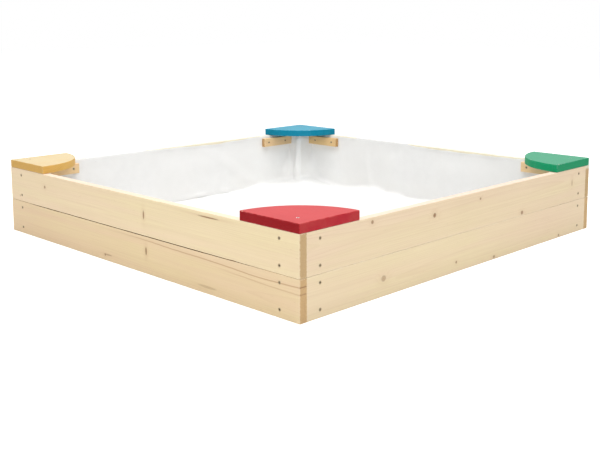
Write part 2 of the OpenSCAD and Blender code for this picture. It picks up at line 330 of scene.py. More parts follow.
def spruce(name, k, length, height, thick, z0, seed, pith=(0.045, 0.03), spacing=0.0026, knots=(), streaks=(),
           tint=(1, 1, 1), off=(0.0, 0.0), late_gain=0.22, axis="x", end_dark=1.0, joint=0, joint_shade_span=(0.001, 0.003, -9, 9),
           top_highlight=0.0):
    """Solid spruce in the board's own frame: a along the grain, b through the board from its outer face, c up from its foot.
    knots: (a, c, half length, half height, darkness); streaks: lists of (a, c) points with a half width and darkness."""
    g = Nodes(name)
    P, N = g.object_point()
    P = g.turn(P, -math.radians(90 * k)); N = g.turn(N, -math.radians(90 * k))
    x, y, z = g.sep(P); nx, ny, nz = g.sep(N)
    if axis == "x":
        a, b, c, na = g.sub(x, off[0]), g.sub(g.add(y, HALF), off[1]), g.sub(z, z0), nx
    elif axis == "y":      # grain along local y
        a, b, c, na = g.sub(y, off[1]), g.sub(x, off[0]), g.sub(z, z0), ny
    else:                  # grain upright
        a, b, c, na = g.sub(z, z0), g.sub(x, off[0]), g.sub(y, off[1]), nz
    s = seed * 3.17
    # the pith wanders along the trunk
    wb = g.mad(g.noise(g.xyz(g.mul(a, 1.1), s, 0.0), 1.0, 1.0), 0.016, -0.008)
    wc = g.mad(g.noise(g.xyz(g.mul(a, 0.9), s + 5.0, 3.0), 1.0, 1.0), 0.022, -0.011)
    dist = g.mad(g.noise(g.xyz(g.mad(a, 1.7, s), g.mul(b, 13.0), g.mul(c, 13.0)), 1.0, 2.0, 0.4), 0.008, -0.004)
    db = g.sub(g.sub(b, pith[0]), wb); dc = g.sub(g.sub(c, pith[1]), wc)
    r = g.m("SQRT", g.add(g.mul(db, db), g.mul(dc, dc)))
    r = g.add(r, dist)
    masks = []
    for i, (ka, kc, ra, rc, dark) in enumerate(knots):
        ua = g.mul(g.sub(a, ka), 1.0 / ra); uc = g.mul(g.sub(c, kc), 1.0 / rc)
        wob = g.mad(g.noise(g.xyz(g.mul(a, 180.0), g.mul(c, 180.0), s + i), 1.0, 2.0), 0.5, -0.25)
        d = g.add(g.m("SQRT", g.add(g.mul(ua, ua), g.mul(uc, uc))), wob)
        # grain lines part round the knot and close up again over about four radii along the board
        va = g.mul(ua, 0.30); vc = g.mul(uc, 0.42)
        bell = g.m("EXPONENT", g.mul(g.add(g.mul(va, va), g.mul(vc, vc)), -1.0))
        r = g.add(r, g.mul(bell, 0.7 * min(ra, rc) + 0.001))
        masks.append((d, bell, dark))
    ph = g.mul(r, 1.0 / spacing)
    ph = g.add(ph, g.mad(g.noise(g.xyz(g.mul(r, 42.0), s, 1.0), 1.0, 2.0), 2.6, -1.3))
    fr = g.m("FRACT", ph)
    late = g.ramp(fr, [(0.0, 0.0), (0.35, 0.08), (0.72, 0.42), (0.9, 1.0), (0.955, 0.85), (1.0, 0.0)], "EASE")
    ring_id = g.m("FLOOR", ph)
    gain = g.lin(g.noise(g.xyz(g.mul(ring_id, 0.73), s + 2.0, 0.0), 1.0, 0.0), 0.25, 0.75, 0.35, 1.0)
    late = g.mul(late, gain)
    fibre = g.noise(g.xyz(g.mul(a, 9.0), g.mul(b, 1500.0), g.mul(c, 1500.0)), 1.0, 3.0, 0.6)
    strand = g.noise(g.xyz(g.mad(a, 2.6, s), g.mul(b, 160.0), g.mul(c, 160.0)), 1.0, 2.0, 0.5)
    band = g.noise(g.xyz(g.mad(a, 0.9, s), g.mul(b, 22.0), g.mul(c, 22.0)), 1.0, 2.0, 0.5)
    cloud = g.noise(g.xyz(g.mad(a, 5.0, s), g.mul(b, 12.0), g.mul(c, 12.0)), 1.0, 3.0, 0.5)
    base = g.mix(g.step(band, 0.35, 0.65), YELLOW, PINK)
    base = g.mix(g.step(cloud, 0.3, 0.7, 0.0, 0.6), base, EARLY)
    col = g.mix(g.mul(late, late_gain), base, LATE)
    col = g.mix(g.step(strand, 0.35, 0.75, 0.0, 0.13), col, (0.60, 0.43, 0.26))
    col = g.mix(g.step(fibre, 0.42, 0.75, 0.0, 0.22), col, (0.62, 0.46, 0.29))
    # short dark resin flecks
    fleck = g.noise(g.xyz(g.mad(a, 60.0, s), g.mul(b, 900.0), g.mul(c, 900.0)), 1.0, 1.0, 0.4)
    col = g.mix(g.step(fleck, 0.735, 0.80, 0.0, 0.5), col, (0.50, 0.32, 0.17))
    end = g.step(g.m("ABSOLUTE", na), 0.75, 0.93)
    stripes = []
    for i, (pts, half_w, dark) in enumerate(streaks):
        n = g.nt.nodes.new("ShaderNodeFloatCurve")
        a0, a1 = pts[0][0], pts[-1][0]
        g.put(n.inputs["Value"], g.lin(a, a0, a1))
        cv = n.mapping.curves[0]
        for j, (pa, pc) in enumerate(pts):
            t, v = (pa - a0) / (a1 - a0), pc / height
            if j == 0:
                cv.points[0].location = (t, v)
            elif j == len(pts) - 1:
                cv.points[-1].location = (t, v)
            else:
                cv.points.new(t, v)
        n.mapping.update()
        line = g.mul(n.outputs[0], height)
        jitter = g.mad(g.noise(g.xyz(g.mad(a, 30.0, s), 7.0 + i, 0.0), 1.0, 2.0), 0.0022, -0.0011)
        e = g.mul(g.add(g.sub(c, line), jitter), 1.0 / half_w)
        bell = g.m("EXPONENT", g.mul(g.mul(e, e), -1.0))
        fade = g.mul(g.step(a, a0, a0 + (a1 - a0) * 0.45), g.step(a, a1 + 0.0005, a1 - 0.03 if pts[-1][0] < length / 2 - 0.01 else a1))
        f = g.mul(g.mul(bell, fade), dark)
        stripes.append((f, dark))
        col = g.mix(f, col, (0.42, 0.22, 0.10))
    for d, bell, dark in masks:
        core = g.step(d, 1.12, 0.72)
        rim = g.mul(g.step(d, 0.6, 1.0), g.step(d, 1.45, 1.05))
        ringlets = g.m("FRACT", g.mul(d, 3.2))
        kc_ = g.mix(g.mul(ringlets, 0.45), (0.40, 0.235, 0.115), (0.235, 0.125, 0.060))
        kc_ = g.mix(g.step(d, 0.42, 0.0), kc_, (0.17, 0.09, 0.045))
        col = g.mix(g.mul(bell, 0.30 * dark), col, (0.60, 0.40, 0.22))
        col = g.mix(g.mul(core, dark), col, kc_)
        col = g.mix(g.mul(rim, 0.55 * dark), col, (0.20, 0.105, 0.05))
    # end grain drinks light and shows its rings strongly
    saw = g.noise(g.xyz(g.mul(b, 260.0), g.mul(c, 260.0), s), 1.0, 4.0, 0.7)
    endc = g.mix(g.mul(late, 0.75), tuple(v * end_dark for v in (0.575, 0.405, 0.215)), tuple(v * end_dark for v in (0.355, 0.225, 0.105)))
    endc = g.mix(g.step(saw, 0.35, 0.7, 0.0, 0.35), endc, (0.42, 0.28, 0.14))
    for f, dark in stripes:
        endc = g.mix(g.m("MINIMUM", g.mul(f, 1.5), 1.0), endc, (0.30, 0.165, 0.075))
    col = g.mix(end, col, endc)
    # edges: bruised and furred a little
    ed = g.second([g.m("MINIMUM", b, g.sub(thick, b)), g.m("MINIMUM", c, g.sub(height, c)),
                   g.sub(length / 2, g.m("ABSOLUTE", a))])
    wear_n = g.noise(g.xyz(g.mul(a, 55.0), g.mul(b, 200.0), g.mul(c, 200.0)), 1.0, 3.0, 0.6)
    wear = g.mul(g.step(ed, 0.0034, 0.0008), g.step(wear_n, 0.36, 0.62))
    col = g.mix(g.mul(wear, 0.5), col, (0.86, 0.75, 0.55))
    grime = g.mul(g.step(ed, 0.0016, 0.0003), g.step(wear_n, 0.60, 0.68))
    col = g.mix(g.mul(grime, 0.45), col, (0.38, 0.27, 0.17))
    col = g.mix(1.0, col, tint, "MULTIPLY")
    if top_highlight:              # the top band is painted paler: a painted highlight standing in for the lit top face
        col = g.mix(g.mul(g.step(c, height - 0.0140, height - 0.0030), top_highlight), col, (0.765, 0.745, 0.600))
    if joint < 0:          # its upper face has greyed a little
        col = g.mix(g.step(nz, 0.60, 0.95), col, g.mix(1.0, col, (0.885, 0.870, 1.010), "MULTIPLY"))
    if joint:              # the two faces that meet in the joint are painted dark brown and lose their shine: painted shade of the gap between the boards
        inside = g.mul(g.step(g.mul(nz, float(joint)), 0.55, 0.85), g.step(b, *joint_shade_span[:2]))
        inside = g.mul(inside, g.mul(g.step(a, joint_shade_span[2] - 0.05, joint_shade_span[2] + 0.03), g.step(a, joint_shade_span[3] + 0.05, joint_shade_span[3] - 0.03)))
        col = g.mix(g.mul(inside, 0.92), col, (0.215, 0.078, 0.018))
        gloss = g.mad(inside, -0.38, 0.38)
    else:
        gloss = 0.38
    rough = g.add(g.mad(fibre, 0.16, 0.50), g.mul(late, -0.07))
    rough = g.add(rough, g.mul(end, 0.20))
    hgt = g.add(g.mul(late, 0.35), g.mul(fibre, 0.55))
    hgt = g.add(hgt, g.mul(g.mul(saw, end), 1.1))
    hgt = g.sub(hgt, g.mul(g.step(fleck, 0.735, 0.80), 0.4))
    hgt = g.sub(hgt, g.mul(wear, g.mul(wear_n, 0.8)))
    for d, bell, dark in masks:
        hgt = g.sub(hgt, g.mul(g.mul(g.step(d, 0.85, 1.0), g.step(d, 1.3, 1.05)), 0.9))
    nrm = g.bump(hgt, 0.55, 0.00028)
    return g.done(col, rough, nrm, gloss)


# ---------------------------------------------------------------- other finishes
def paint(name, k, base, seed, light, grain_gain=0.12, scratch=0.0, top_reflection=0.0, side_light_gains=((1.0,) * 3, (1.0,) * 3)):
    """Satin glaze on a spruce seat: the grain shows faintly through, edges rubbed lighter (partly wear, partly a
    painted highlight), a painted reflection on the top, and where side gains are given, painted shade on one straight
    side and a painted reflection on the other.
    """
    g = Nodes(name)
    P, N = g.object_point()
    P = g.turn(P, -math.radians(90 * k)); N = g.turn(N, -math.radians(90 * k))
    x, y, z = g.sep(P); nx, ny, nz = g.sep(N)
    a, b, c = g.sub(x, HALF), g.add(y, HALF), g.sub(z, WALL_H)
    s = seed * 2.3
    r = g.m("SQRT", g.add(g.mul(a, a), g.mul(b, b)))
    warp = g.mad(g.noise(g.xyz(g.mad(a, 3.0, s), g.mul(b, 14.0), g.mul(c, 14.0)), 1.0, 2.0), 0.024, -0.012)
    ph = g.mul(g.add(g.add(b, warp), g.mul(c, 0.6)), 1 / 0.0042)
    fr = g.m("FRACT", ph)
    late = g.ramp(fr, [(0.0, 0.0), (0.45, 0.1), (0.88, 1.0), (1.0, 0.0)], "EASE")
    fibre = g.noise(g.xyz(g.mul(a, 12.0), g.mul(b, 1100.0), g.mul(c, 700.0)), 1.0, 3.0, 0.6)
    cloud = g.noise(g.xyz(g.mad(a, 22.0, s), g.mul(b, 22.0), g.mul(c, 22.0)), 1.0, 4.0, 0.55)
    brush = g.noise(g.xyz(g.mad(a, 10.0, s), g.mul(b, 240.0), g.mul(c, 240.0)), 1.0, 2.0, 0.5)
    dark = tuple(v * 0.72 for v in base)
    pale = tuple(v * 0.98 + w * 0.02 for v, w in zip(base, light))
    col = g.mix(g.mul(late, grain_gain * 2.0), base, dark)
    col = g.mix(g.step(cloud, 0.35, 0.65, 0.0, 0.5), col, pale)
    col = g.mix(g.step(brush, 0.45, 0.7, 0.0, 0.22), col, dark)
    col = g.mix(g.step(fibre, 0.5, 0.75, 0.0, 0.25), col, pale)
    # the top is painted lighter, patchily: a painted reflection of the white surroundings on the satin top
    top_reflection_mask = g.mul(g.step(nz, 0.75, 0.97), g.step(cloud, 0.20, 0.60, 0.7, 1.0))
    col = g.mix(g.mul(top_reflection_mask, top_reflection), col, light)
    # one straight side is painted darker, a painted shade, and the other lighter and paler, a painted reflection
    for axis, gain in ((ny, side_light_gains[0]), (nx, side_light_gains[1])):
        if gain != (1.0,) * 3:
            sgn = -1.0 if axis is ny else 1.0
            col = g.mix(g.step(g.mul(axis, sgn), 0.7, 0.95), col, g.mix(1.0, col, gain, "MULTIPLY"))
    # rubbed edges, worn corners; the lighter edge line is partly wear and partly a painted highlight on the rounded
    # edges
    flat = g.second([g.m("MINIMUM", c, g.sub(SEAT_T, c)), g.m("ABSOLUTE", a), g.m("ABSOLUTE", b),
                     g.m("ABSOLUTE", g.sub(SEAT_R, r))])
    wn = g.noise(g.xyz(g.mul(a, 70.0), g.mul(b, 70.0), g.mul(c, 160.0)), 1.0, 3.0, 0.6)
    wear = g.mul(g.step(flat, 0.0030, 0.0010), g.step(wn, 0.38, 0.66))
    col = g.mix(g.mul(wear, 0.16), col, light)
    chip = g.mul(g.step(flat, 0.0018, 0.0007), g.step(wn, 0.665, 0.70))
    col = g.mix(g.mul(chip, 0.75), col, (0.70, 0.56, 0.36))
    hgt = g.add(g.mul(late, 0.45), g.mul(fibre, 0.30))
    hgt = g.add(hgt, g.mul(cloud, 0.35))
    rough = g.mad(cloud, 0.22, 0.30)
    rough = g.add(rough, g.mul(fibre, 0.08))
    if scratch:
        sc = None
        for i, ang in enumerate((0.4, 1.3, 2.5)):
            n = g.nt.nodes.new("ShaderNodeVectorRotate"); n.rotation_type = "Z_AXIS"
            g.put(n.inputs["Vector"], g.xyz(a, b, 0.0)); n.inputs["Angle"].default_value = ang
            qx, qy, qz = g.sep(n.outputs[0])
            w_ = g.noise(g.xyz(g.mad(qx, 16.0, 3.0 * i), g.mul(qy, 820.0), s), 1.0, 1.0, 0.4)
            hit = g.mul(g.step(w_, 0.69, 0.735), g.step(g.noise(g.xyz(g.mad(qx, 30.0, i), g.mul(qy, 30.0), s), 1.0, 1.0), 0.45, 0.6))
            sc = hit if sc is None else g.m("MAXIMUM", sc, hit)
        col = g.mix(g.mul(sc, scratch), col, light)
        rough = g.add(rough, g.mul(sc, 0.2))
        hgt = g.sub(hgt, g.mul(sc, 0.5))
    rough = g.add(rough, g.mul(wear, 0.12))
    nrm = g.bump(hgt, 0.5, 0.00022)
    return g.done(col, rough, nrm, 0.11)


def zinc(name, base=(0.74, 0.735, 0.71), rough=0.30, metal=1.0, seed=0.0):
    g = Nodes(name)
    P, N = g.object_point()
    x, y, z = g.sep(P)
    cloud = g.noise(P, 420.0, 3.0, 0.55)
    fine = g.noise(P, 2600.0, 2.0, 0.6)
    brush = g.noise(g.xyz(g.mul(x, 300.0), g.mul(y, 300.0), g.mul(z, 3600.0)), 1.0, 2.0, 0.5)
    col = g.mix(g.step(cloud, 0.35, 0.65), tuple(v * 0.86 for v in base), base)
    col = g.mix(g.step(fine, 0.62, 0.75, 0.0, 0.45), col, tuple(v * 0.45 for v in base))
    r = g.add(g.mad(cloud, 0.22, rough - 0.08), g.mul(fine, 0.10))
    nrm = g.bump(g.add(g.mul(cloud, 0.5), g.add(g.mul(fine, 0.25), g.mul(brush, 0.3))), 0.35, 0.00006)
    return g.done(col, r, nrm, 0.5, Metallic=metal)


def fleece():
    """Thermally bonded non-woven: random fibres, small bond points, faint clouds in its thickness."""
    g = Nodes("fleece")
    P, N = g.object_point()
    x, y, z = g.sep(P)
    w = g.mad(g.noise(P, 8.0, 2.0), 0.006, -0.003)
    cloud = g.noise(P, 26.0, 4.0, 0.6)
    patch = g.noise(P, 5.0, 2.0, 0.5)
    q = g.xyz(g.mul(g.add(x, w), 520.0), g.mul(g.sub(y, w), 520.0), g.mul(z, 520.0))
    fib1 = g.m("ABSOLUTE", g.sub(g.noise(g.xyz(g.mul(x, 900.0), g.mul(y, 900.0), g.mul(z, 160.0)), 1.0, 2.0, 0.6, 0.6), 0.5))
    fib2 = g.m("ABSOLUTE", g.sub(g.noise(g.xyz(g.mul(g.add(x, z), 260.0), g.mul(g.sub(y, z), 260.0), g.mul(g.sub(z, x), 900.0)), 1.0, 2.0, 0.6, 0.8), 0.5))
    fib = g.sub(1.0, g.mul(g.m("MINIMUM", fib1, fib2), 7.0))
    dots = g.step(g.voronoi(q, 1.0, "F1", "Distance", 0.18), 0.34, 0.20)
    col = g.mix(g.step(cloud, 0.35, 0.65), (0.728, 0.724, 0.715), (0.748, 0.744, 0.735))
    col = g.mix(g.step(patch, 0.4, 0.62, 0.0, 0.5), col, (0.740, 0.732, 0.716))
    col = g.mix(g.mul(dots, 0.14), col, (0.704, 0.704, 0.690))
    col = g.mix(g.mul(g.step(fib, 0.75, 1.0), 0.12), col, (0.780, 0.780, 0.770))
    # towards the back wall the sheet is painted a little darker: painted shade
    col = g.mix(g.step(y, 0.44, 0.56, 0.0, 1.0), col, g.mix(1.0, col, (0.967, 0.967, 0.965), "MULTIPLY"))
    # lighter towards the foot of the walls: painted light of the floor's bounce; darker out on the ground away from the
    # walls: painted shade
    col = g.mix(g.step(z, 0.090, 0.004), col, g.mix(1.0, col, (1.040, 1.040, 1.038), "MULTIPLY"))
    out = g.m("MINIMUM", g.sub(A_IN, g.m("ABSOLUTE", x)), g.sub(A_IN, g.m("ABSOLUTE", y)))
    col = g.mix(g.mul(g.step(out, 0.06, 0.22), g.step(z, 0.012, 0.004)), col, g.mix(1.0, col, (0.86, 0.88, 0.885), "MULTIPLY"))
    hgt = g.add(g.mul(fib, 0.5), g.mul(cloud, 0.35))
    hgt = g.sub(hgt, g.mul(dots, 0.7))
    rough = g.mad(cloud, 0.12, 0.84)
    nrm = g.bump(hgt, 0.45, 0.00030)
    return g.done(col, rough, nrm, 0.18, Sheen_Weight=0.12, Sheen_Roughness=0.6)


# ---------------------------------------------------------------- timber shapes
def bar(name, x0, x1, W, H, M, rad, seed, step=0.006, top=None, bottom=None, dents=0, rads=(1, 1, 1, 1)):
    """Sawn timber along x with rounded long edges. top, bottom: how far those faces are off flat at x."""
    L = x1 - x0
    n = max(4, int(L / step))
    st = [(x0, 0.00050), (x0 + 0.00014, 0.00016), (x0 + 0.0005, 0.0)]
    st += [(x0 + 0.0016 + (L - 0.0032) * i / n, 0.0) for i in range(n + 1)]
    st += [(x1 - 0.0005, 0.0), (x1 - 0.00014, 0.00016), (x1, 0.00050)]
    rnd = np.random.RandomState(int(seed * 97) % 9973 + 5)
    dd = [(rnd.uniform(x0 + 0.02, x1 - 0.02), rnd.randint(4), rnd.uniform(0.003, 0.008), rnd.uniform(0.0006, 0.0016)) for _ in range(dents)]
    verts, faces = [], []
    for x, e in st:
        t = top(x) if top else 0.0
        bt = bottom(x) if bottom else 0.0
        ring = []
        for ci, (cy, cz, a0) in enumerate(((0, 0, 180), (1, 0, 270), (1, 1, 0), (0, 1, 90))):
            rr = rad * rads[ci] * (1.0 + 0.30 * wave(x, seed + 11 * ci, 22.0) + 0.12 * wave(x, seed + 5 * ci, 90.0))
            for dx, dc, dw, dr in dd:
                if dc == ci:
                    rr += dr * math.exp(-((x - dx) / dw) ** 2)
            rr = max(rr, e + 0.00025)
            zz0, zz1 = bt + e, H + t - e
            r2 = rr - e
            yc = e + r2 if cy == 0 else W - e - r2
            zc = zz0 + r2 if cz == 0 else zz1 - r2
            for j in range(4):
                an = math.radians(a0 + 30 * j)
                ring.append(Vector((x, yc + r2 * math.cos(an), zc + r2 * math.sin(an))))
        verts += ring
    m = 16
    for s in range(len(st) - 1):
        for j in range(m):
            a, b = s * m + j, s * m + (j + 1) % m
            faces.append((a, b, b + m, a + m))
    faces.append(tuple(range(m - 1, -1, -1)))
    faces.append(tuple((len(st) - 1) * m + j for j in range(m)))
    ob = new_mesh(name, [M @ v for v in verts], faces)
    tidy(ob)
    return ob


def hole(M, depth, name="hole", mouth=True, lead=0.0):
    """Cutter for a countersunk hole whose mouth is at the origin of M and which goes down its -Z."""
    cone = MOUTH_R - HOLE_R
    if mouth:
        prof = [(0, -depth), (HOLE_R, -depth), (HOLE_R, -0.0006 - cone), (MOUTH_R, -0.0006), (MOUTH_R, -0.00012),
                (MOUTH_R + 0.00018, 0.00004), (MOUTH_R + 0.00018, 0.0015 + lead), (0, 0.0015 + lead)]
    else:
        prof = [(0, -depth), (HOLE_R, -depth), (HOLE_R, 0.0015 + lead), (0, 0.0015 + lead)]
    return revolve(name, prof, 24, M)


def weigh(ob):
    m = ob.modifiers.new("w", "WEIGHTED_NORMAL")
    m.mode, m.weight, m.keep_sharp = "FACE_AREA", 80, True
    apply_mods(ob)


def finish_piece(ob, mat, nodes):
    if mat is not None:
        ob.data.materials.clear()
        ob.data.materials.append(mat)
    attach(ob, "root")
    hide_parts(*nodes)
    return ob


ROT_WALL = Matrix.Rotation(math.radians(90), 4, "X")       # a cutter's -Z then points along +Y, into the wall
mm = 0.001

KNOTS = {
    ("front", "upper"): [(-0.408, 0.153, .0036, .0034, .85), (0.062, 0.146, .0024, .0088, .95), (0.310, 0.178, .030, .0014, .95),
                         (-0.55, 0.110, .002, .0024, .5)],
    ("front", "lower"): [(0.069, 0.057, .0024, .0080, 1.25), (-0.112, 0.015, .0028, .0026, .85), (-0.098, 0.0165, .014, .0016, .5),
                         (0.302, 0.016, .026, .0026, .32)],
    ("right", "upper"): [(-0.375, 0.177, .0036, .0036, .8), (-0.149, 0.157, .0046, .0046, 1.0), (0.041, 0.169, .0026, .0026, .8),
                         (0.238, 0.103, .0046, .0044, .85), (0.502, 0.149, .0032, .0082, .4)],
    ("right", "lower"): [(-0.335, 0.042, .0066, .0060, .52), (0.435, 0.007, .0032, .0030, .8), (0.108, 0.007, .0036, .0034, .75),
                         (-0.058, 0.025, .0030, .0030, .75)],
    ("back", "upper"): [(-0.31, 0.131, .006, .0055, .8), (0.12, 0.166, .003, .0076, .8), (0.43, 0.118, .004, .004, .7)],
    ("back", "lower"): [(-0.22, 0.060, .0075, .0066, .9), (0.29, 0.030, .003, .003, .7), (0.02, 0.079, .024, .002, .4)],
    ("left", "upper"): [(0.24, 0.150, .0055, .005, .85), (-0.09, 0.112, .003, .003, .7), (-0.44, 0.164, .0026, .007, .6)],
    ("left", "lower"): [(0.36, 0.052, .004, .004, .8), (-0.27, 0.024, .0062, .0055, .75), (0.05, 0.071, .003, .0026, .6)],
}
STREAKS = {
    ("front", "lower"): [([(-0.140, .0836), (0.072, .0839), (0.182, .0809), (0.294, .0798), (0.389, .0771), (0.464, .0743), (0.535, .0751), (0.600, .0767)], .0013, .62),
                         ([(0.30, .0690), (0.42, .0655), (0.50, .0625), (0.600, .0612)], .0015, .34)],
    ("left", "upper"): [([(-0.30, .0300), (-0.10, .0322), (0.15, .0305), (0.40, .0350)], .0012, .35)],
}
TINTS = {
    ("front", "upper"): (0.985, 0.970, 0.945), ("front", "lower"): (0.945, 0.890, 0.825), ("right", "upper"): (0.925, 0.900, 0.915),
    ("right", "lower"): (0.940, 0.925, 0.930), ("back", "upper"): (0.97, 0.955, 0.93), ("back", "lower"): (0.95, 0.92, 0.88),
    ("left", "upper"): (0.98, 0.96, 0.92), ("left", "lower"): (0.95, 0.93, 0.90),
}
PITHS = {
    ("front", "upper"): (0.060, 0.020), ("front", "lower"): (0.052, 0.040), ("right", "upper"): (0.060, 0.064),
    ("right", "lower"): (0.048, 0.036), ("back", "upper"): (-0.040, 0.050), ("back", "lower"): (0.055, 0.020),
    ("left", "upper"): (0.070, 0.045), ("left", "lower"): (-0.030, 0.066),
}


def build_board(k, which):
    side = WALLS[k]
    node = f"wall_{side}_{which}"
    blo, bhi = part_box(node)
    L = max(bhi.x - blo.x, bhi.y - blo.y)
    z0 = blo.z
    seed = 3.0 + k * 2 + (which == "upper") * 9
    if which == "lower":
        openness = {"front": 0.00102, "right": -0.00046, "back": 0.0003, "left": 0.0005}[side]
        top = lambda x: -openness * math.exp(-((x + 0.06) / 0.45) ** 10) * (1 + 0.30 * wave(x, seed, 9.0)) + (0.00012 if side != "right" else 0.00004) * wave(x, seed, 30.0) - (0.00030 * math.exp(-((x + 0.13) / 0.20) ** 4) if side == "right" else 0.0)
        bottom = lambda x: 0.0
    else:
        top = lambda x: 0.00022 * wave(x, seed, 5.0) - 0.0001
        bottom = lambda x: 0.00008 + 0.00008 * wave(x, seed, 26.0)
    M = rot_z(k) @ Matrix.Translation((0, -HALF, z0))
    jr = 0.12 if side == "right" else 0.6
    ob = bar(f"board_{side}_{which}", -L / 2, L / 2, BT, BH, M, 0.0012, seed, top=top, bottom=bottom, dents=9,
             rads=(1, 1, jr, jr) if which == "lower" else (jr, jr, 1, 1))
    cutters = []
    zs = SCREW_Z[:2] if which == "lower" else SCREW_Z[2:]
    for s in (-1, 1):
        for z in zs:
            cutters.append(hole(rot_z(k) @ Matrix.Translation((s * (HALF - SCREW_IN), -HALF, z)) @ ROT_WALL, BT + 0.002))
        if which == "upper":
            for xi in rail_screws_in(corner_at(k, s)):
                R = Matrix.Translation((s * (HALF - xi), -HALF + BT, RAIL_SCREW_Z)) @ Matrix.Rotation(math.radians(-90), 4, "X")
                cutters.append(hole(rot_z(k) @ R, 0.0146, mouth=False))
    if which == "upper":
        for x in STAPLE_X:
            for s in (-1, 1):
                c = Vector((x + s * 0.0047, -HALF + BT, STAPLE_Z))
                cutters.append(box_at("slot", c - Vector((0.00045, 0.0084, 0.00075)), c + Vector((0.00045, 0.002, 0.00075)), rot_z(k)))
    cut(ob, join("cutters", cutters))
    tidy(ob, 38)
    weigh(ob)
    tone = TINTS[(side, which)]
    knots = [(a, z - z0, ra, rc, d) for a, z, ra, rc, d in KNOTS[(side, which)]]
    mat = spruce(f"spruce_{side}_{which}", k, L, BH, BT, z0, seed, pith=PITHS[(side, which)], spacing=0.0024 + 0.0003 * (k % 3),
                 knots=knots, streaks=STREAKS.get((side, which), ()), tint=tone, end_dark=0.95 if which == "upper" else 1.10, joint=1 if which == "lower" else -1,
                 # where the lower board's joint is painted dark: painted shade in the gap
                 joint_shade_span={"front": (0.0001, 0.0009, -0.46, 0.44), "right": (0.0012, 0.0030, -0.20, 0.16)}.get(side, (0.0008, 0.0026, -0.45, 0.45)),
                 # a pale top band on the back and left upper boards: a painted highlight
                 top_highlight=0.72 if which == "upper" and side in ("back", "left") else 0.0)
    return finish_piece(ob, mat, [node])


def corner_matrix(k, other=False):
    M = rot_z(k) @ Matrix.Translation((HALF, -HALF, 0))
    if other:
        M = M @ Matrix(((0, -1, 0, 0), (-1, 0, 0, 0), (0, 0, 1, 0), (0, 0, 0, 1)))
    return M


def build_rail(k, other):
    ab = "b" if other else "a"
    node = f"rail_{CORNERS[k]}_{ab}"
    M = corner_matrix(k, other)
    seed = 31.0 + 2 * k + other
    ob = bar(f"batten_{CORNERS[k]}_{ab}", -REACH[k], -RAIL_IN, RAIL_W, RAIL_H, M @ Matrix.Translation((0, RAIL_Y, RAIL_Z)), 0.0010, seed, step=0.005, dents=3)
    cutters = []
    for xi in rail_screws_in(k):
        cutters.append(hole(M @ Matrix.Translation((-xi, RAIL_Y + RAIL_W, RAIL_SCREW_Z)) @ Matrix.Rotation(math.radians(-90), 4, "X"), RAIL_W + 0.002))
    cut(ob, join("cutters", cutters))
    tidy(ob, 38)
    weigh(ob)
    mid = (REACH[k] + RAIL_IN) / 2
    if other:
        off, axis = (HALF - RAIL_Y - RAIL_W, -HALF + mid), "y"
    else:
        off, axis = (HALF - mid, RAIL_Y), "x"
    # the battens' tint is painted light: darker and oranger at the blue seat, a painted shade under the seat; orange
    # and pink at the others, painted shade and a painted reflection of the seats' paint
    mat = spruce(f"spruce_batten_{CORNERS[k]}_{ab}", k, REACH[k] - RAIL_IN, RAIL_H, RAIL_W, RAIL_Z, seed, pith=(0.03 + 0.01 * (k % 2), -0.03 - 0.004 * k),
                 spacing=0.0031, knots=[(0.012, 0.011, .0024, .0022, .6)] if (k, other) == (0, True) else (),
                 tint=((0.80, 0.685, 0.555) if other else (0.80, 0.66, 0.475)) if COLOURS[k] == "blue" else (0.93, 0.80, 0.67), off=off, axis=axis, late_gain=0.7)
    return finish_piece(ob, mat, [node])


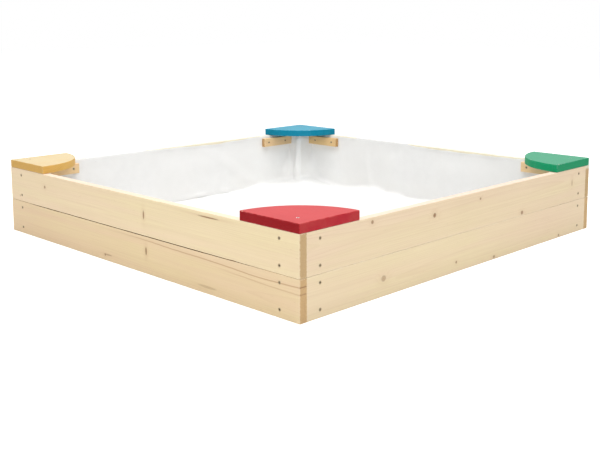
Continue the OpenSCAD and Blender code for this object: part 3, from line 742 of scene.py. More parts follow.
def build_seat(k):
    node = f"seat_{COLOURS[k]}"
    M = corner_matrix(k) @ Matrix.Translation((0, 0, WALL_H))
    R, T = SEAT_R, SEAT_T
    # outline with small radii at its three points: corner of the box, and the two ends of the arc
    def outline(d):
        """Closed outline moved in by d, the same number of points each time."""
        rc = max(0.0030 - d, 0.0008)          # corner radius
        pts = []
        Ri = R - d
        # outer corner
        for j in range(7):
            an = math.radians(-90 + 90 * j / 6)
            pts.append((-d - rc + rc * math.cos(an), d + rc + rc * math.sin(an)))
        # up the edge on x = -d to the arc's end, rounded
        re = max(0.0022 - d, 0.0006)
        cx, cy = -d - re, math.sqrt((Ri - re) ** 2 - (d + re) ** 2)
        a1 = math.atan2(cy, cx)
        ns = 26
        y_a, y_b = d + rc, cy
        for j in range(1, ns):
            pts.append((-d, y_a + (y_b - y_a) * j / ns))
        for j in range(7):
            an = a1 * j / 6
            pts.append((cx + re * math.cos(an), cy + re * math.sin(an)))
        a2 = math.pi - (a1 - math.pi / 2)     # mirror of a1 about the diagonal, on the other end
        a2 = math.atan2(-cx, -cy)
        na = 60
        for j in range(1, na):
            an = a1 + (a2 - a1) * j / na
            pts.append((Ri * math.cos(an), Ri * math.sin(an)))
        cx2, cy2 = -cy, -cx
        for j in range(7):
            an = a2 + (math.pi * 1.5 - a2) * j / 6
            pts.append((cx2 + re * math.cos(an), cy2 + re * math.sin(an)))
        for j in range(1, ns):
            pts.append((cx2 + (-d - rc - cx2) * j / ns, d))
        return pts
    er = 0.0017
    rings = []
    prof = []
    for j in range(5):
        an = math.radians(90 * j / 4)
        prof.append((er * (1 - math.sin(an)), er * (1 - math.cos(an))))            # bottom edge, from the flat out to the side
    low = prof
    high = [(i, T - z) for i, z in reversed(prof)]
    sides = [(0.0, er + (T - 2 * er) * j / 3) for j in (1, 2)]
    levels = [(er + 0.004, 0.0)] + low + sides + high + [(er + 0.004, T)]
    verts, faces, n = [], [], None
    for li, (ins, z) in enumerate(levels):
        pts = outline(ins)
        n = len(pts)
        for i, (x, y) in enumerate(pts):
            w_ = 0.00012 * wave(x + y * 1.7 + z * 3, 41 + k, 24.0)
            verts.append(M @ Vector((x - w_ * (ins < 0.001) * 0.5, y + w_ * (ins < 0.001) * 0.5, z)))
    for li in range(len(levels) - 1):
        for i in range(n):
            a, b = li * n + i, li * n + (i + 1) % n
            faces.append((a, b, b + n, a + n))
    faces.append(tuple(range(n - 1, -1, -1)))
    faces.append(tuple((len(levels) - 1) * n + i for i in range(n)))
    ob = new_mesh(f"seatboard_{COLOURS[k]}", verts, faces)
    tidy(ob)
    Mc = corner_matrix(k)
    cut(ob, hole(Mc @ Matrix.Translation((-SEAT_X, SEAT_Y, WALL_H + T)), T + 0.002))
    tidy(ob, 38)
    weigh(ob)
    # columns: base colour, the pale colour that the painted top reflection, scratches and rubbed edges go towards,
    # grain, scratches, strength of the painted top reflection
    spec = {
        "red": ((0.384, 0.0024, 0.0078), (0.95, 0.33, 0.32), 0.10, 0.0, 0.16),
        "green": ((0.0012, 0.262, 0.106), (0.46, 0.42, 0.56), 0.14, 0.09, 0.125),
        "blue": ((0.0003, 0.180, 0.286), (0.36, 0.80, 0.90), 0.10, 0.06, 0.165),
        "yellow": ((0.620, 0.365, 0.093), (0.53, 0.66, 0.60), 0.16, 0.0, 0.36),
    }[COLOURS[k]]
    # on the red seat one straight side is painted darker, a painted shade, and the other lighter and paler, a painted
    # reflection
    mat = paint(f"paint_{COLOURS[k]}", k, spec[0], 5 + 3 * k, spec[1], spec[2], spec[3], spec[4],
                side_light_gains=((0.72,) * 3, (1.085, 5.9, 3.3)) if k == 0 else ((1.0,) * 3, (1.0,) * 3))
    return finish_piece(ob, mat, [node])


# ---------------------------------------------------------------- screws and staples
_screws = {}


def screw_mesh(length, mats):
    """Countersunk cross-recess wood screw with its head's top at the origin, pointing down -Z."""
    key = (round(length * 1e5), mats[0].name)
    if key in _screws:
        return _screws[key]
    core, crest, shank = 0.00135, 0.00196, 0.0018
    seg, pitch = 12, 0.0021
    rows = []
    head = [(0.0, 0.0), (0.0030, 0.00002), (0.00375, -0.00002), (0.00398, -0.00014), (0.00398, -0.0003), (0.0030, -0.00125), (0.0024, -0.0019), (0.00195, -0.0026), (shank, -0.0034)]
    hs = 36
    obh = revolve("head", head + [(shank, -0.0040), (0, -0.0040)], hs, Matrix.Identity(4))
    obh.data.materials.append(mats[0]); obh.data.materials.append(mats[1])
    cr = []
    for q in (0, 1):
        w, l0, l1, dep = 0.00066, 0.00262, 0.00085, 0.0026
        v = []
        for zz, ll, ww in ((0.0006, l0 * 1.12, w * 1.12), (0.0, l0, w), (-dep, l1, w * 0.55)):
            v += [Vector((sx * ll, sy * ww, zz)) for sx, sy in ((-1, -1), (1, -1), (1, 1), (-1, 1))]
        f = [(3, 2, 1, 0), (8, 9, 10, 11)]
        for a in (0, 4):
            for j in range(4):
                f.append((a + j, a + (j + 1) % 4, a + 4 + (j + 1) % 4, a + 4 + j))
        o = new_mesh("cross", [Matrix.Rotation(q * math.pi / 2, 4, "Z") @ p for p in v], f, smooth=False)
        o.data.materials.append(mats[0]); o.data.materials.append(mats[1])
        # the cross recess takes the second, near-black material: painted shade in the recess
        for p in o.data.polygons:
            p.material_index = 1
        tidy(o)
        cr.append(o)
    for c_ in cr:
        cut(obh, c_)
    tidy(obh, 32)
    # shank, thread and point
    z, verts, faces = -0.0036, [], []
    dz = pitch / 6
    zs = []
    while z > -length + 0.0004:
        zs.append(z); z -= dz
    t_start, t_end = -0.0036 - 0.30 * length, -length
    for z in zs:
        tip = min(1.0, max(0.0, (z + length) / 0.006))
        on = min(1.0, max(0.0, (t_start - z) / 0.003))
        for i in range(seg):
            f = (z / pitch + i / seg) % 1.0
            h = max(0.0, 1.0 - 3.0 * abs(f - 0.5))
            r = (shank * (1 - on) + core * on) * (0.15 + 0.85 * tip) + (crest - core) * h * on * (0.3 + 0.7 * tip)
            an = 2 * math.pi * i / seg
            verts.append(Vector((r * math.cos(an), r * math.sin(an), z)))
    for s in range(len(zs) - 1):
        for i in range(seg):
            a, b = s * seg + i, s * seg + (i + 1) % seg
            faces.append((a, a + seg, b + seg, b))
    faces.append(tuple(range(seg)))
    verts.append(Vector((0, 0, -length)))
    base = (len(zs) - 1) * seg
    for i in range(seg):
        faces.append((base + i, len(verts) - 1, base + (i + 1) % seg))
    obs = new_mesh("shank", verts, faces)
    obs.data.materials.append(mats[0]); obs.data.materials.append(mats[1])
    tidy(obs, 60)
    ob = join(f"screw_{key}", [obh, obs])
    me = ob.data
    bpy.data.objects.remove(ob)
    _screws[key] = me
    return me


def place_screws(name, items, mats, nodes):
    obs = []
    for i, (length, M) in enumerate(items):
        me = screw_mesh(length, mats).copy()
        me.transform(M)
        o = bpy.data.objects.new(f"s{i}", me)
        bpy.context.scene.collection.objects.link(o)
        obs.append(o)
    ob = join(name, obs)
    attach(ob, "root"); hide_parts(*nodes)
    return ob


def build_screws(mats, seat_glint_mats):
    for k, side in enumerate(WALLS):
        items = []
        for s in (-1, 1):
            for i, z in enumerate(SCREW_Z):
                A = Matrix.Rotation(math.radians(17 + 31 * i + 23 * s + 37 * k), 4, "Z")
                items.append((0.0497, rot_z(k) @ Matrix.Translation((s * (HALF - SCREW_IN), -HALF + SINK, z)) @ ROT_WALL @ A))
        place_screws(f"woodscrews_{side}", items, mats, [f"wall_screws_{side}"])
        rails = []
        for other in (False, True):
            M = corner_matrix(k, other)
            fix = Matrix.Scale(-1, 4, Vector((1, 0, 0))) if other else Matrix.Identity(4)
            for i, xi in enumerate(rail_screws_in(k)):
                R = Matrix.Translation((-xi, RAIL_Y + RAIL_W - SINK, RAIL_SCREW_Z)) @ Matrix.Rotation(math.radians(-90), 4, "X")
                rails.append((0.0297, M @ R @ fix @ Matrix.Rotation(math.radians(12 + 40 * i + 21 * other + 9 * k), 4, "Z")))
        seat = [(0.0497, corner_matrix(k) @ Matrix.Translation((-SEAT_X, SEAT_Y, WALL_H + SEAT_T - SINK)) @ Matrix.Rotation(math.radians(20 + 35 * k), 4, "Z"))]
        place_screws(f"battenscrews_{CORNERS[k]}", rails, mats, [f"rail_screws_{CORNERS[k]}"])
        # the seat screw takes the paler zinc: a painted highlight
        place_screws(f"seatscrew_{COLOURS[k]}", seat, seat_glint_mats, [f"seat_screw_{COLOURS[k]}"])


def build_staples(k, mat):
    """Bent round-cornered wire: two legs and a crown."""
    side = WALLS[k]
    w, leg = 0.0047, 0.0080
    out = 0.0017
    path, bend = [], 0.0008
    path.append(Vector((-w, -leg, 0)))
    path.append(Vector((-w, out - bend, 0)))
    for j in range(1, 4):
        an = math.radians(90 * j / 4)
        path.append(Vector((-w + bend - bend * math.cos(an), out - bend + bend * math.sin(an), 0)))
    path.append(Vector((-w + bend, out, 0)))
    path += [Vector((-p.x, p.y, 0)) for p in reversed(path)]
    verts, faces = [], []
    hx, hz = 0.0003, 0.0006
    sect = []
    for sx, sz, a0 in ((-1, -1, 180), (1, -1, 270), (1, 1, 0), (-1, 1, 90)):
        for j in range(3):
            an = math.radians(a0 + 45 * j)
            sect.append((sx * (hx - 0.00014) + 0.00014 * math.cos(an), sz * (hz - 0.00014) + 0.00014 * math.sin(an)))
    m = len(sect)
    for xi, x in enumerate(STAPLE_X):
        base = len(verts)
        tilt = math.radians(3.0 * wave(xi * 1.3, 7 + k, 1.7))
        for i, p in enumerate(path):
            t = (path[min(i + 1, len(path) - 1)] - path[max(i - 1, 0)]).normalized()
            nrm = Vector((-t.y, t.x, 0))
            for u, v in sect:
                q = p + nrm * u + Vector((0, 0, v))
                verts.append(rot_z(k) @ (Vector((x, -HALF + BT, STAPLE_Z)) + Vector((q.x * math.cos(tilt * 0.0), q.y, q.z + q.x * math.sin(tilt) * 0.35))))
        for i in range(len(path) - 1):
            for j in range(m):
                a, b = base + i * m + j, base + i * m + (j + 1) % m
                faces.append((a, b, b + m, a + m))
        faces.append(tuple(base + j for j in range(m - 1, -1, -1)))
        faces.append(tuple(base + (len(path) - 1) * m + j for j in range(m)))
    ob = new_mesh(f"wirestaples_{side}", verts, faces)
    tidy(ob, 35)
    return finish_piece(ob, mat, [f"staples_{side}"])


# ---------------------------------------------------------------- liner
A_IN, N_IN = HALF - BT, HALF - BT - POST       # inner faces of the walls and of the posts
MID, THICK = 0.0008, 0.0009                    # the sheet's middle off the wood, its thickness
TOPS = {   # height of the sheet's top edge along each wall, in mm
    "left": [(-519, 187.3), (-416, 187.6), (-360, 189), (-300, 189), (-230, 189), (-160, 189), (-110, 188.2), (-79, 187.8), (0, 186), (68, 183.4), (112, 181.8), (157, 181.2), (189, 182.0),
             (250, 184.2), (322, 186.4), (400, 187.3), (519, 187.4)],
    "back": [(-519, 187.3), (-416, 186.5), (-400, 185.4), (-320, 185.2), (-285, 188), (-270, 189), (-160, 189), (-60, 189), (-40, 186), (-20, 184), (50, 183), (150, 182.4),
             (250, 183.2), (330, 183.6), (400, 185.6), (519, 187)],
    "front": [(-519, 187.3), (-400, 186), (-300, 184), (-180, 185.5), (-60, 182.5), (60, 180.2), (160, 182), (260, 185.5), (340, 185), (416, 186.5), (519, 187.2)],
    "right": [(-519, 187.3), (-400, 186), (-250, 184), (-100, 185.4), (0, 183), (150, 180), (300, 184.5), (416, 186), (519, 187)],
}
OVER = {   # how much of the edge has flopped over the wall's top
    "left": [(-400, 0), (-370, 0), (-345, .75), (-310, .35), (-275, .8), (-235, .3), (-200, .7), (-165, .5), (-130, 0), (400, 0)],
    "back": [(-400, 0), (-290, 0), (-262, .9), (-232, .35), (-205, .8), (-172, .25), (-140, .85), (-105, .4), (-78, .7), (-52, 0), (400, 0)],
    "front": [(-400, 0), (400, 0)], "right": [(-400, 0), (400, 0)],
}
COVES = {  # radius of the turn from wall to floor, in mm
    "left": [(-519, 30), (-416, 20), (-200, 8), (-66, 4), (20, 3), (60, 2.6), (105, 2.6), (150, 5), (190, 3), (215, 3), (245, 5), (300, 6), (332, 12), (360, 18), (430, 18), (490, 20), (519, 18)],
    "back": [(-519, 20), (-490, 22), (-461, 24), (-440, 22), (-419, 18), (-380, 16), (-344, 13), (-300, 12), (-270, 14), (-200, 18), (-153, 16), (-100, 16), (-62, 10), (-41, 6), (0, 7),
             (50, 9), (120, 9), (230, 14), (330, 12), (430, 16), (519, 20)],
    "front": [(-519, 34), (-400, 18), (-300, 10), (-150, 22), (-40, 34), (60, 20), (180, 9), (300, 22), (420, 30), (519, 30)],
    "right": [(-519, 30), (-420, 30), (-300, 16), (-180, 10), (-60, 14), (60, 28), (150, 36), (260, 18), (380, 11), (519, 30)],
}
POST_COVES = ((30, 30), (32, 32), (17, 17), (30, 32))      # on the two faces of each post, in mm
RISES = {   # how far off the ground the sheet meets the wall, where it has not been tucked right down, in mm
    "left": [(290, 0), (340, 6), (362, 9), (400, 6.5), (440, 7.5), (490, 9.5), (519, 10)],
    "back": [(-519, 19), (-490, 15), (-461, 9), (-440, 5), (-425, 2.5), (-335, 0), (-300, 4), (-268, 10), (-200, 15), (-150, 8), (-100, 8.5), (-60, 2), (-42, 0), (60, 4), (150, 0), (400, 0), (519, 9)],
    "front": [(-519, 9), (-430, 2), (-300, 0), (-120, 7), (0, 3), (120, 0), (330, 0), (430, 6), (519, 8)],
    "right": [(-519, 8), (-400, 0), (-220, 5), (-40, 0), (160, 8), (300, 0), (420, 2), (519, 9)],
}
POST_RISES = ((8, 8), (9, 9), (19.5, 13.0), (9, 9))
ALONG = {"front": 1, "right": 1, "back": -1, "left": -1}      # world coordinate along the wall against the wall's own x


def table(t, side, x):
    pts = t[side]
    w = ALONG[side] * x * 1000
    return float(np.interp(w, [p[0] for p in pts], [p[1] for p in pts]))


def smooth01(t):
    t = min(1.0, max(0.0, t))
    return t * t * (3 - 2 * t)


def liner_samples():
    out = []
    for k, side in enumerate(WALLS):
        R = rot_z(k)
        def add(x, y, nx, ny, kind, lx, conc):
            q = R @ Vector((x, y, 0)); nn = R @ Vector((nx, ny, 0))
            out.append(dict(q=(q.x, q.y), n=(nn.x, nn.y), kind=kind, x=lx, k=k, side=side, conc=conc))
        nw = 145
        for i in range(nw):
            x = -N_IN + 2 * N_IN * i / (nw - 1)
            nx = 1 if i == 0 else (-1 if i == nw - 1 else 0)
            add(x, -A_IN, nx, 1, "wall", x, N_IN - abs(x))
        for i in range(1, 17):
            y = -A_IN + POST * i / 16
            add(N_IN, y, -1, 1 if i == 16 else 0, "post", N_IN, POST * i / 16)
        for i in range(1, 16):
            x = N_IN + POST * i / 16
            add(x, -N_IN, 0, 1, "post", N_IN + POST * i / 16, POST * (1 - i / 16))
    return out


def liner_wall_point(s, row, zt):
    """Distance off the wood and height of the sheet's top edge, rows 0 to 4."""
    k, side, x = s["k"], s["side"], s["x"]
    over = table(OVER, side, x) if s["kind"] == "wall" and abs(x) < 0.40 else 0.0
    lean = 0.0
    if s["kind"] == "wall" and abs(x) < 0.372:
        edge = smooth01((0.372 - abs(x)) / 0.03)
        near = min(abs(x - sx) for sx in STAPLE_X)
        free = smooth01((near - 0.006) / 0.030)
        lean = edge * (0.0006 + 0.0030 * free * (0.6 + 0.5 * wave(x, 60 + k, 13.0))) * (1 - over)
        zt = zt - 0.0012 * free * (1 - over) * (0.5 + 0.5 * wave(x, 70 + k, 19.0))
    drops = [0.0, 0.0018, 0.0042, 0.0080, 0.0125]
    if over > 0.02:
        o = over
        wz = WALL_H
        flop = [(-0.0048 * o + MID * (1 - o), wz + 0.0007 + 0.0004 * wave(x, 90 + k, 60.0)), (-0.0022 * o + MID * (1 - o), wz + 0.0012 + 0.0008 * o),
                (0.0006, wz + 0.0008 + 0.0005 * o), (MID + 0.0005 * o, wz - 0.0020), (MID, wz - 0.0080)]
        base = [(MID + lean * f, zt - dz) for f, dz in zip((1.0, 0.85, 0.5, 0.18, 0.0), drops)]
        f = smooth01(o / 0.25)
        tops = [(a[0] * (1 - f) + b[0] * f, a[1] * (1 - f) + b[1] * f) for a, b in zip(base, flop)]
    else:
        tops = [(MID + lean * f, zt - dz) for f, dz in zip((1.0, 0.85, 0.5, 0.18, 0.0), drops)]
    return tops[row]


def slack(s, z):
    """How far the loose sheet stands off the wood at height z: folds that end at the floor, and where its foot stays away."""
    k, side, x = s["k"], s["side"], s["x"]
    # nothing near the staples and behind the battens, more towards the foot
    env = smooth01((0.163 - z) / 0.06) * (0.55 + 0.45 * smooth01(z / 0.05))
    foot = 0.0
    if s["kind"] == "wall":
        u = ALONG[side] * x
        a = 0.0007 + 0.0036 * max(0.0, wave(u, 20 + k, 6.5) + 0.12) + 0.0013 * max(0.0, wave(u + 0.35 * z, 26 + k, 15.0))
        free = HALF - REACH[corner_at(k, x)] - 0.018
        if abs(x) > free:
            a *= 1 - smooth01((abs(x) - free) / 0.016) * smooth01((z - 0.118) / 0.022)
        d = env * a
        if side == "left":                      # soft slanting folds, and a crease along the foot
            dd = (u - 0.120 - (0.168 - z) * 1.45) / 0.034
            d += 0.0026 * math.exp(-dd * dd) * smooth01((0.172 - z) / 0.03) * smooth01((z - 0.010) / 0.03)
            tuck = math.exp(-((u - 0.086) / 0.024) ** 2) + 0.62 * math.exp(-((u - 0.200) / 0.019) ** 2) + 0.32 * math.exp(-((u - 0.030) / 0.022) ** 2)
            d += 0.0052 * math.exp(-((z - 0.0085) / 0.0065) ** 2) * tuck
            dd = (u - 0.262 - (0.168 - z) * 1.2) / 0.040
            d += 0.0012 * math.exp(-dd * dd) * smooth01((0.150 - z) / 0.03)
        if side == "back":
            for u0, sl, w_, am in ((-0.255, 0.18, 0.020, 0.0026), (-0.095, -0.30, 0.026, 0.0022), (0.215, 0.12, 0.034, 0.0018)):
                dd = (u - u0 - (0.168 - z) * sl) / w_
                d += am * math.exp(-dd * dd) * smooth01((0.176 - z) / 0.05)
            foot = 0.005 * math.exp(-((u + 0.400) / 0.060) ** 2) * smooth01((0.112 - z) / 0.10)
    else:
        d = env * 0.0010 * (1 + wave(s["conc"] + k, 33 + k, 20.0))
        if k == 2:                              # one upright pleat on the post at the back left
            e = x - N_IN                        # off the post's edge
            crest = 0.012 + 0.016 * smooth01((0.170 - z) / 0.11)
            rise = smooth01(e / crest) if e < crest else smooth01((crest + 0.011 - e) / 0.011)
            on = smooth01((0.183 - z) / 0.02)
            d += 0.0066 * rise * on * (0.7 + 0.3 * smooth01((0.150 - z) / 0.1))
            d -= 0.0042 * math.exp(-((e - crest + 0.003) / 0.0026) ** 2) * smooth01((0.062 - z) / 0.012) * smooth01((z - 0.010) / 0.010)
            d = max(d, 0.0004)
    return d, foot


def reach_in(x, y, soft):
    """Distance off the nearest wall or post, with the inner corners between them rounded off by soft."""
    ax, ay = np.abs(x), np.abs(y)
    wall = np.minimum(A_IN - ax, A_IN - ay)
    post = np.hypot(np.maximum(0, N_IN - ax), np.maximum(0, N_IN - ay))
    post = np.where((ax > N_IN) & (ay > N_IN), -1.0, post)
    h = np.maximum(soft - np.abs(wall - post), 0) / np.maximum(soft, 1e-9)
    return np.minimum(wall, post) - h * h * soft / 4


def inward(Q, D, soft):
    """From the points Q on the wood towards the middle of the box, as far as D off it."""
    to = -Q / np.linalg.norm(Q, axis=1)[:, None]
    lo, hi_ = np.zeros(len(Q)), np.full(len(Q), 0.22)
    for _ in range(26):
        t = (lo + hi_) / 2
        P = Q + to * t[:, None]
        far = reach_in(P[:, 0], P[:, 1], soft) > D
        hi_ = np.where(far, t, hi_)
        lo = np.where(far, lo, t)
    return Q + to * hi_[:, None]


def collide(P, m):
    """Keep the sheet's middle inside the box and off the posts, battens and ground. Metres, in place."""
    x, y, z = P[:, 0], P[:, 1], P[:, 2]
    top = z < WALL_H + 0.0002
    for ax in (0, 1):
        c = P[:, ax]
        lim = A_IN - m
        c[top] = np.clip(c[top], -lim, lim)
    # posts
    ax_, ay_ = np.abs(x), np.abs(y)
    lim = N_IN - m - 0.0006 * np.clip((RAIL_Z - 0.005 - z) / 0.015, 0, 1)
    inside = (ax_ > lim) & (ay_ > lim)
    px, py = ax_ - lim, ay_ - lim
    mx = inside & (px < py)
    my = inside & ~(px < py)
    x[mx] = np.sign(x[mx]) * lim[mx]
    y[my] = np.sign(y[my]) * lim[my]
    # battens: a slot between each one and the wall, and their undersides
    g = 0.00055
    for a, b, s in ((x, y, 0), (y, x, 1)):
        aa, ab = np.abs(a), np.abs(b)
        zone = (aa > HALF - max(REACH) - g) & (aa < HALF - RAIL_IN + g) & (ab > HALF - RAIL_Y - RAIL_W - g) & (ab < HALF - RAIL_Y + g) & (z > RAIL_Z - g) & (z < RAIL_TOP + g)
        if not zone.any():
            continue
        up = z[zone] - (RAIL_Z - g)
        back = (HALF - RAIL_Y + g) - ab[zone]
        front = ab[zone] - (HALF - RAIL_Y - RAIL_W - g)
        endp = (HALF - RAIL_IN + g) - aa[zone]
        best = np.argmin(np.stack([back, up, front, endp]), axis=0)
        idx = np.nonzero(zone)[0]
        i0 = idx[best == 0]; b[i0] = np.sign(b[i0]) * (HALF - RAIL_Y + g)
        i1 = idx[best == 1]; z[i1] = RAIL_Z - g
        i2 = idx[best == 2]; b[i2] = np.sign(b[i2]) * (HALF - RAIL_Y - RAIL_W - g)
        i3 = idx[best == 3]; a[i3] = np.sign(a[i3]) * (HALF - RAIL_IN + g)
    np.maximum(z, 0.0009, out=z)
    under_seat = (np.abs(x) > HALF - SEAT_R) & (np.abs(y) > HALF - SEAT_R)
    z[under_seat] = np.minimum(z[under_seat], WALL_H - 0.0008)


def build_liner(mat):
    S = liner_samples()
    N = len(S)
    rows, cove, floor_z = 34, 12, 0.00095
    verts, faces, rings, grid = [], [], [], []
    Q = np.array([s["q"] for s in S])
    R = np.array([table(COVES, s["side"], s["x"]) if s["kind"] == "wall" else POST_COVES[s["k"]][s["x"] > N_IN] for s in S]) * mm
    F = np.array([table(RISES, s["side"], s["x"]) if s["kind"] == "wall" else POST_RISES[s["k"]][s["x"] > N_IN] for s in S]) * mm + floor_z
    for _ in range(8):
        R = R + 0.5 * ((np.roll(R, 1) + np.roll(R, -1)) / 2 - R)
        F = F + 0.5 * ((np.roll(F, 1) + np.roll(F, -1)) / 2 - F)
    tops = []
    for s in S:
        zt = min(table(TOPS, s["side"], s["x"]), 189.0) * mm if s["kind"] == "wall" else 0.1872
        tops.append(min(zt, 0.1874) if abs(s["x"]) > 0.405 else zt)
    for r in range(5):
        ring = []
        for s, zt in zip(S, tops):
            d, z = liner_wall_point(s, r, zt)
            ring.append([s["q"][0] + s["n"][0] * d, s["q"][1] + s["n"][1] * d, z])
        grid.append(np.array(ring))
    zs = grid[4][:, 2]
    for r in range(5, rows + cove + 1):
        if r <= rows:
            z = zs + (F + R - zs) * (r - 4) / (rows - 4)
            turn = np.zeros(N)
        else:
            an = math.pi / 2 * (r - rows) / cove
            z = F + R * (1 - math.sin(an))
            turn = R * (1 - math.cos(an))
        sl = np.array([slack(s, h) for s, h in zip(S, z)])
        fade = 1.0 if r <= rows else 1 - smooth01((r - rows) / cove)
        off = MID + sl[:, 0] * fade + sl[:, 1] + turn
        straight = Q + np.array([s["n"] for s in S], float) * off[:, None]
        soft = 0.050 * np.array([smooth01((0.146 - h) / 0.10) for h in z])
        drawn = inward(Q, off, soft)
        f = np.array([smooth01((0.143 - h) / 0.035) for h in z])[:, None]
        grid.append(np.hstack([straight * (1 - f) + drawn * f, z[:, None]]))
    start = grid[-1]
    for ring in grid:
        rings.append(list(range(len(verts), len(verts) + N)))
        verts += [tuple(p) for p in ring]
    # floor: closing rings, fewer points as they close
    ws, w, stepw = [0.004], 0.0, 0.0125
    while w < 0.965:
        w += stepw
        ws.append(w)
    ang = np.arctan2(start[:, 1], start[:, 0])
    goal = np.stack([np.cos(ang) * 0.02, np.sin(ang) * 0.02], 1)
    idx = np.arange(N)
    for w in ws:
        want = 1 if w < 0.48 else 2 if w < 0.74 else 4 if w < 0.87 else 8 if w < 0.94 else 16
        idx = np.arange(0, N, want)
        pts = start[idx, :2] * (1 - w) + goal[idx] * w
        sq = pts.copy()
        ring = []
        lift = F[idx] - floor_z
        run = np.linalg.norm(start[idx, :2], axis=1) * w
        for x, y, up, off in zip(sq[:, 0], sq[:, 1], lift, run):
            h = up * (1 - smooth01(off / (0.06 + 4.0 * up)))
            v1 = mnoise.noise(Vector((x * 5.5, y * 5.5, 3.3))); v2 = mnoise.noise(Vector((x * 13 + y * 4, y * 12, 8.1)))
            ridge = max(0.0, 1 - abs(v1) * 9.0)
            h += (0.0016 * ridge * ridge * smooth01(0.5 + v2 * 2) + 0.0006 * max(0.0, v2)) * smooth01(w / 0.05)
            ring.append((x, y, floor_z + h))
        rings.append(list(range(len(verts), len(verts) + len(ring))))
        verts += ring
    for Ra, Rb in zip(rings, rings[1:]):
        na, nb = len(Ra), len(Rb)
        if na == nb:
            for i in range(na):
                j = (i + 1) % na
                faces.append((Ra[i], Ra[j], Rb[j], Rb[i]))
        else:
            for i in range(nb):
                j = (i + 1) % nb
                a0, a1, a2 = Ra[2 * i], Ra[2 * i + 1], Ra[(2 * i + 2) % na]
                faces.append((a0, a1, Rb[i])); faces.append((a1, Rb[j], Rb[i])); faces.append((a1, a2, Rb[j]))
    last = rings[-1]
    faces.append(tuple(last))
    P = np.array(verts)
    collide(P, MID - 0.00025)
    ob = new_mesh("fleece_liner", P, faces)
    tidy(ob)
    bm = bmesh.new(); bm.from_mesh(ob.data)
    # the sheet's inner side looks into the box
    up = sum(f.normal.z * f.calc_area() for f in bm.faces)
    if up < 0:
        bmesh.ops.reverse_faces(bm, faces=bm.faces)
    bm.to_mesh(ob.data); bm.free()
    m = ob.modifiers.new("thick", "SOLIDIFY")
    m.thickness, m.offset, m.use_even_offset = THICK, 0.0, False
    m.use_rim = True
    apply_mods(ob)
    for p in ob.data.polygons:
        p.use_smooth = True
    return finish_piece(ob, mat, ["liner"])


# ---------------------------------------------------------------- build
for k in range(4):
    for which in ("lower", "upper"):
        build_board(k, which)
for k in range(4):
    build_rail(k, False)
    build_rail(k, True)
    build_seat(k)
# each screw zinc has a dark second material for the cross recess: painted shade
yellow_zinc = [zinc("yellow_zinc", (0.50, 0.41, 0.27), 0.38), zinc("yellow_zinc_recess_shade", (0.045, 0.032, 0.020), 0.6, 0.3)]
# the seat screws get a paler zinc and a paler recess than the others: a painted highlight on their heads
white_zinc = [zinc("white_zinc", (0.88, 0.88, 0.86), 0.42), zinc("white_zinc_recess_shade", (0.16, 0.15, 0.14), 0.6, 0.3, 2.0)]
build_screws(yellow_zinc, white_zinc)
wire = zinc("staple_wire", (0.80, 0.80, 0.79), 0.34)
for k in range(4):
    build_staples(k, wire)
build_liner(fleece())
for k in range(4):
    post = NODES[f"post_{CORNERS[k]}"]
    post.data.materials.clear()
    post.data.materials.append(spruce(f"spruce_post_{CORNERS[k]}", k, WALL_H, POST, POST, WALL_H / 2, 51.0 + 3 * k, pith=(0.03, 0.035 - 0.02 * k), spacing=0.003,
                                      tint=(0.95, 0.92, 0.88), off=(HALF - BT - POST, -HALF + BT), axis="z", late_gain=0.7,
                                      knots=[(0.02 - 0.03 * k, 0.022 + 0.006 * k, .0055, .005, .7)]))
    bv = post.modifiers.new("soft", "BEVEL")
    bv.width, bv.segments, bv.limit_method, bv.angle_limit = 0.0003, 2, "ANGLE", math.radians(30)

# ---------------------------------------------------------------- floor, light, camera
def stage_floor():
    s = 14.0
    ob = new_mesh("studio_floor", [(-s, -s, -0.0003), (s, -s, -0.0003), (s, s, -0.0003), (-s, s, -0.0003)], [(0, 1, 2, 3)], smooth=False)
    g = Nodes("studio_floor")
    P, N = g.object_point()
    c = g.noise(P, 3.0, 3.0, 0.5)
    col = g.mix(c, (0.80, 0.80, 0.80), (0.82, 0.82, 0.82))
    mat = g.done(col, 0.9, None, 0.1)
    lp = g.nt.nodes.new("ShaderNodeLightPath")
    em = g.nt.nodes.new("ShaderNodeEmission"); em.inputs[0].default_value = (1, 1, 1, 1)
    g.put(em.inputs[1], g.mul(lp.outputs["Is Camera Ray"], 0.55))
    ad = g.nt.nodes.new("ShaderNodeAddShader")
    g.nt.links.new(g.bsdf.outputs[0], ad.inputs[0]); g.nt.links.new(em.outputs[0], ad.inputs[1])
    g.nt.links.new(ad.outputs[0], g.out.inputs["Surface"])
    ob.data.materials.append(mat)
    return ob


stage_floor()

world = bpy.data.worlds.new("studio")
bpy.context.scene.world = world
world.use_nodes = True
nt = world.node_tree
nt.nodes.clear()
wo = nt.nodes.new("ShaderNodeOutputWorld")
mixs = nt.nodes.new("ShaderNodeMixShader")
lp = nt.nodes.new("ShaderNodeLightPath")
soft = nt.nodes.new("ShaderNodeBackground"); soft.inputs[0].default_value = (1.0, 1.0, 1.0, 1); soft.inputs[1].default_value = 0.55
seen = nt.nodes.new("ShaderNodeBackground"); seen.inputs[0].default_value = (1, 1, 1, 1); seen.inputs[1].default_value = 1.0
gloss = nt.nodes.new("ShaderNodeBackground"); gloss.inputs[0].default_value = (1, 1, 1, 1); gloss.inputs[1].default_value = 0.7
mixg = nt.nodes.new("ShaderNodeMixShader")
nt.links.new(lp.outputs["Is Glossy Ray"], mixg.inputs[0])
nt.links.new(soft.outputs[0], mixg.inputs[1])
nt.links.new(gloss.outputs[0], mixg.inputs[2])
nt.links.new(lp.outputs["Is Camera Ray"], mixs.inputs[0])
nt.links.new(mixg.outputs[0], mixs.inputs[1])
nt.links.new(seen.outputs[0], mixs.inputs[2])
nt.links.new(mixs.outputs[0], wo.inputs[0])


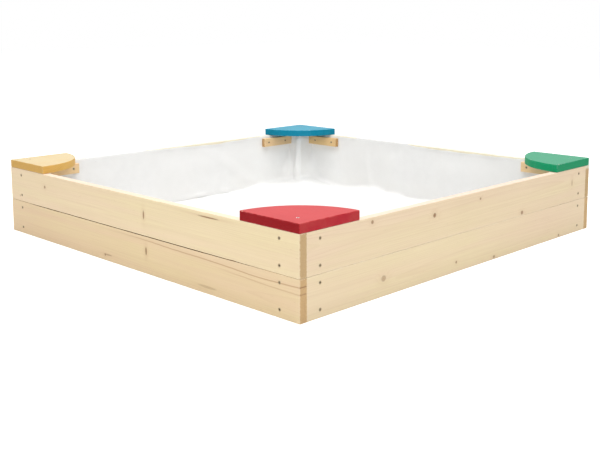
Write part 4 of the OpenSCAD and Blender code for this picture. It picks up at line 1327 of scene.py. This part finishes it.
def area(name, loc, target, size, power, color=(1, 1, 1)):
    d = bpy.data.lights.new(name, "AREA")
    d.shape, d.size, d.energy, d.color = "SQUARE", size, power, color
    o = bpy.data.objects.new(name, d)
    bpy.context.scene.collection.objects.link(o)
    o.location = loc
    o.visible_camera = False
    o.rotation_euler = (Vector(target) - Vector(loc)).to_track_quat("-Z", "Y").to_euler()
    return o


area("overhead", (0.1, 0.0, 2.6), (0, 0, 0), 3.6, 122.0)
area("front_fill", (2.6, -2.6, 1.3), (0, 0, 0.1), 2.4, 22.0)
sp = bpy.data.lights.new("corner_fill", "SPOT")
sp.energy, sp.spot_size, sp.spot_blend, sp.shadow_soft_size = 4.4, math.radians(27.5), 1.0, 0.10
spo = bpy.data.objects.new("corner_fill", sp)
bpy.context.scene.collection.objects.link(spo)
spo.location, spo.visible_camera = (0.0, 0.0, 0.29), False
spo.rotation_euler = (Vector((-0.56, 0.56, 0.065)) - Vector(spo.location)).to_track_quat("-Z", "Y").to_euler()

cam_data = bpy.data.cameras.new("camera")
cam_data.sensor_width, cam_data.lens = 36.0, 54.740
cam_data.clip_start, cam_data.clip_end = 0.01, 100.0
cam = bpy.data.objects.new("camera", cam_data)
bpy.context.scene.collection.objects.link(cam)
yaw, pitch, roll = math.radians(135.0684), math.radians(-7.6658), math.radians(-0.1862)
fw = Vector((math.cos(pitch) * math.cos(yaw), math.cos(pitch) * math.sin(yaw), math.sin(pitch)))
rt = fw.cross(Vector((0, 0, 1))).normalized()
up = rt.cross(fw)
r2 = math.cos(roll) * rt + math.sin(roll) * up
u2 = -math.sin(roll) * rt + math.cos(roll) * up
cam.matrix_world = Matrix((
    (r2.x, u2.x, -fw.x, 1.87122), (r2.y, u2.y, -fw.y, -1.86604), (r2.z, u2.z, -fw.z, 0.62388), (0, 0, 0, 1)))
bpy.context.scene.camera = cam
# the shifted frame belongs to this one place only; the camera looks straight ahead from anywhere else
shift = cam_data.driver_add("shift_y").driver
shift.type = "SCRIPTED"
at = shift.variables.new()
at.name, at.type = "x", "TRANSFORMS"
at.targets[0].id, at.targets[0].transform_type, at.targets[0].transform_space = cam, "LOC_X", "WORLD_SPACE"
shift.expression = "-0.14329 if abs(x - 1.87122) < 0.0005 else 0.0"
bpy.context.scene.view_settings.view_transform = "Standard"
bpy.context.scene.view_settings.look = "None"
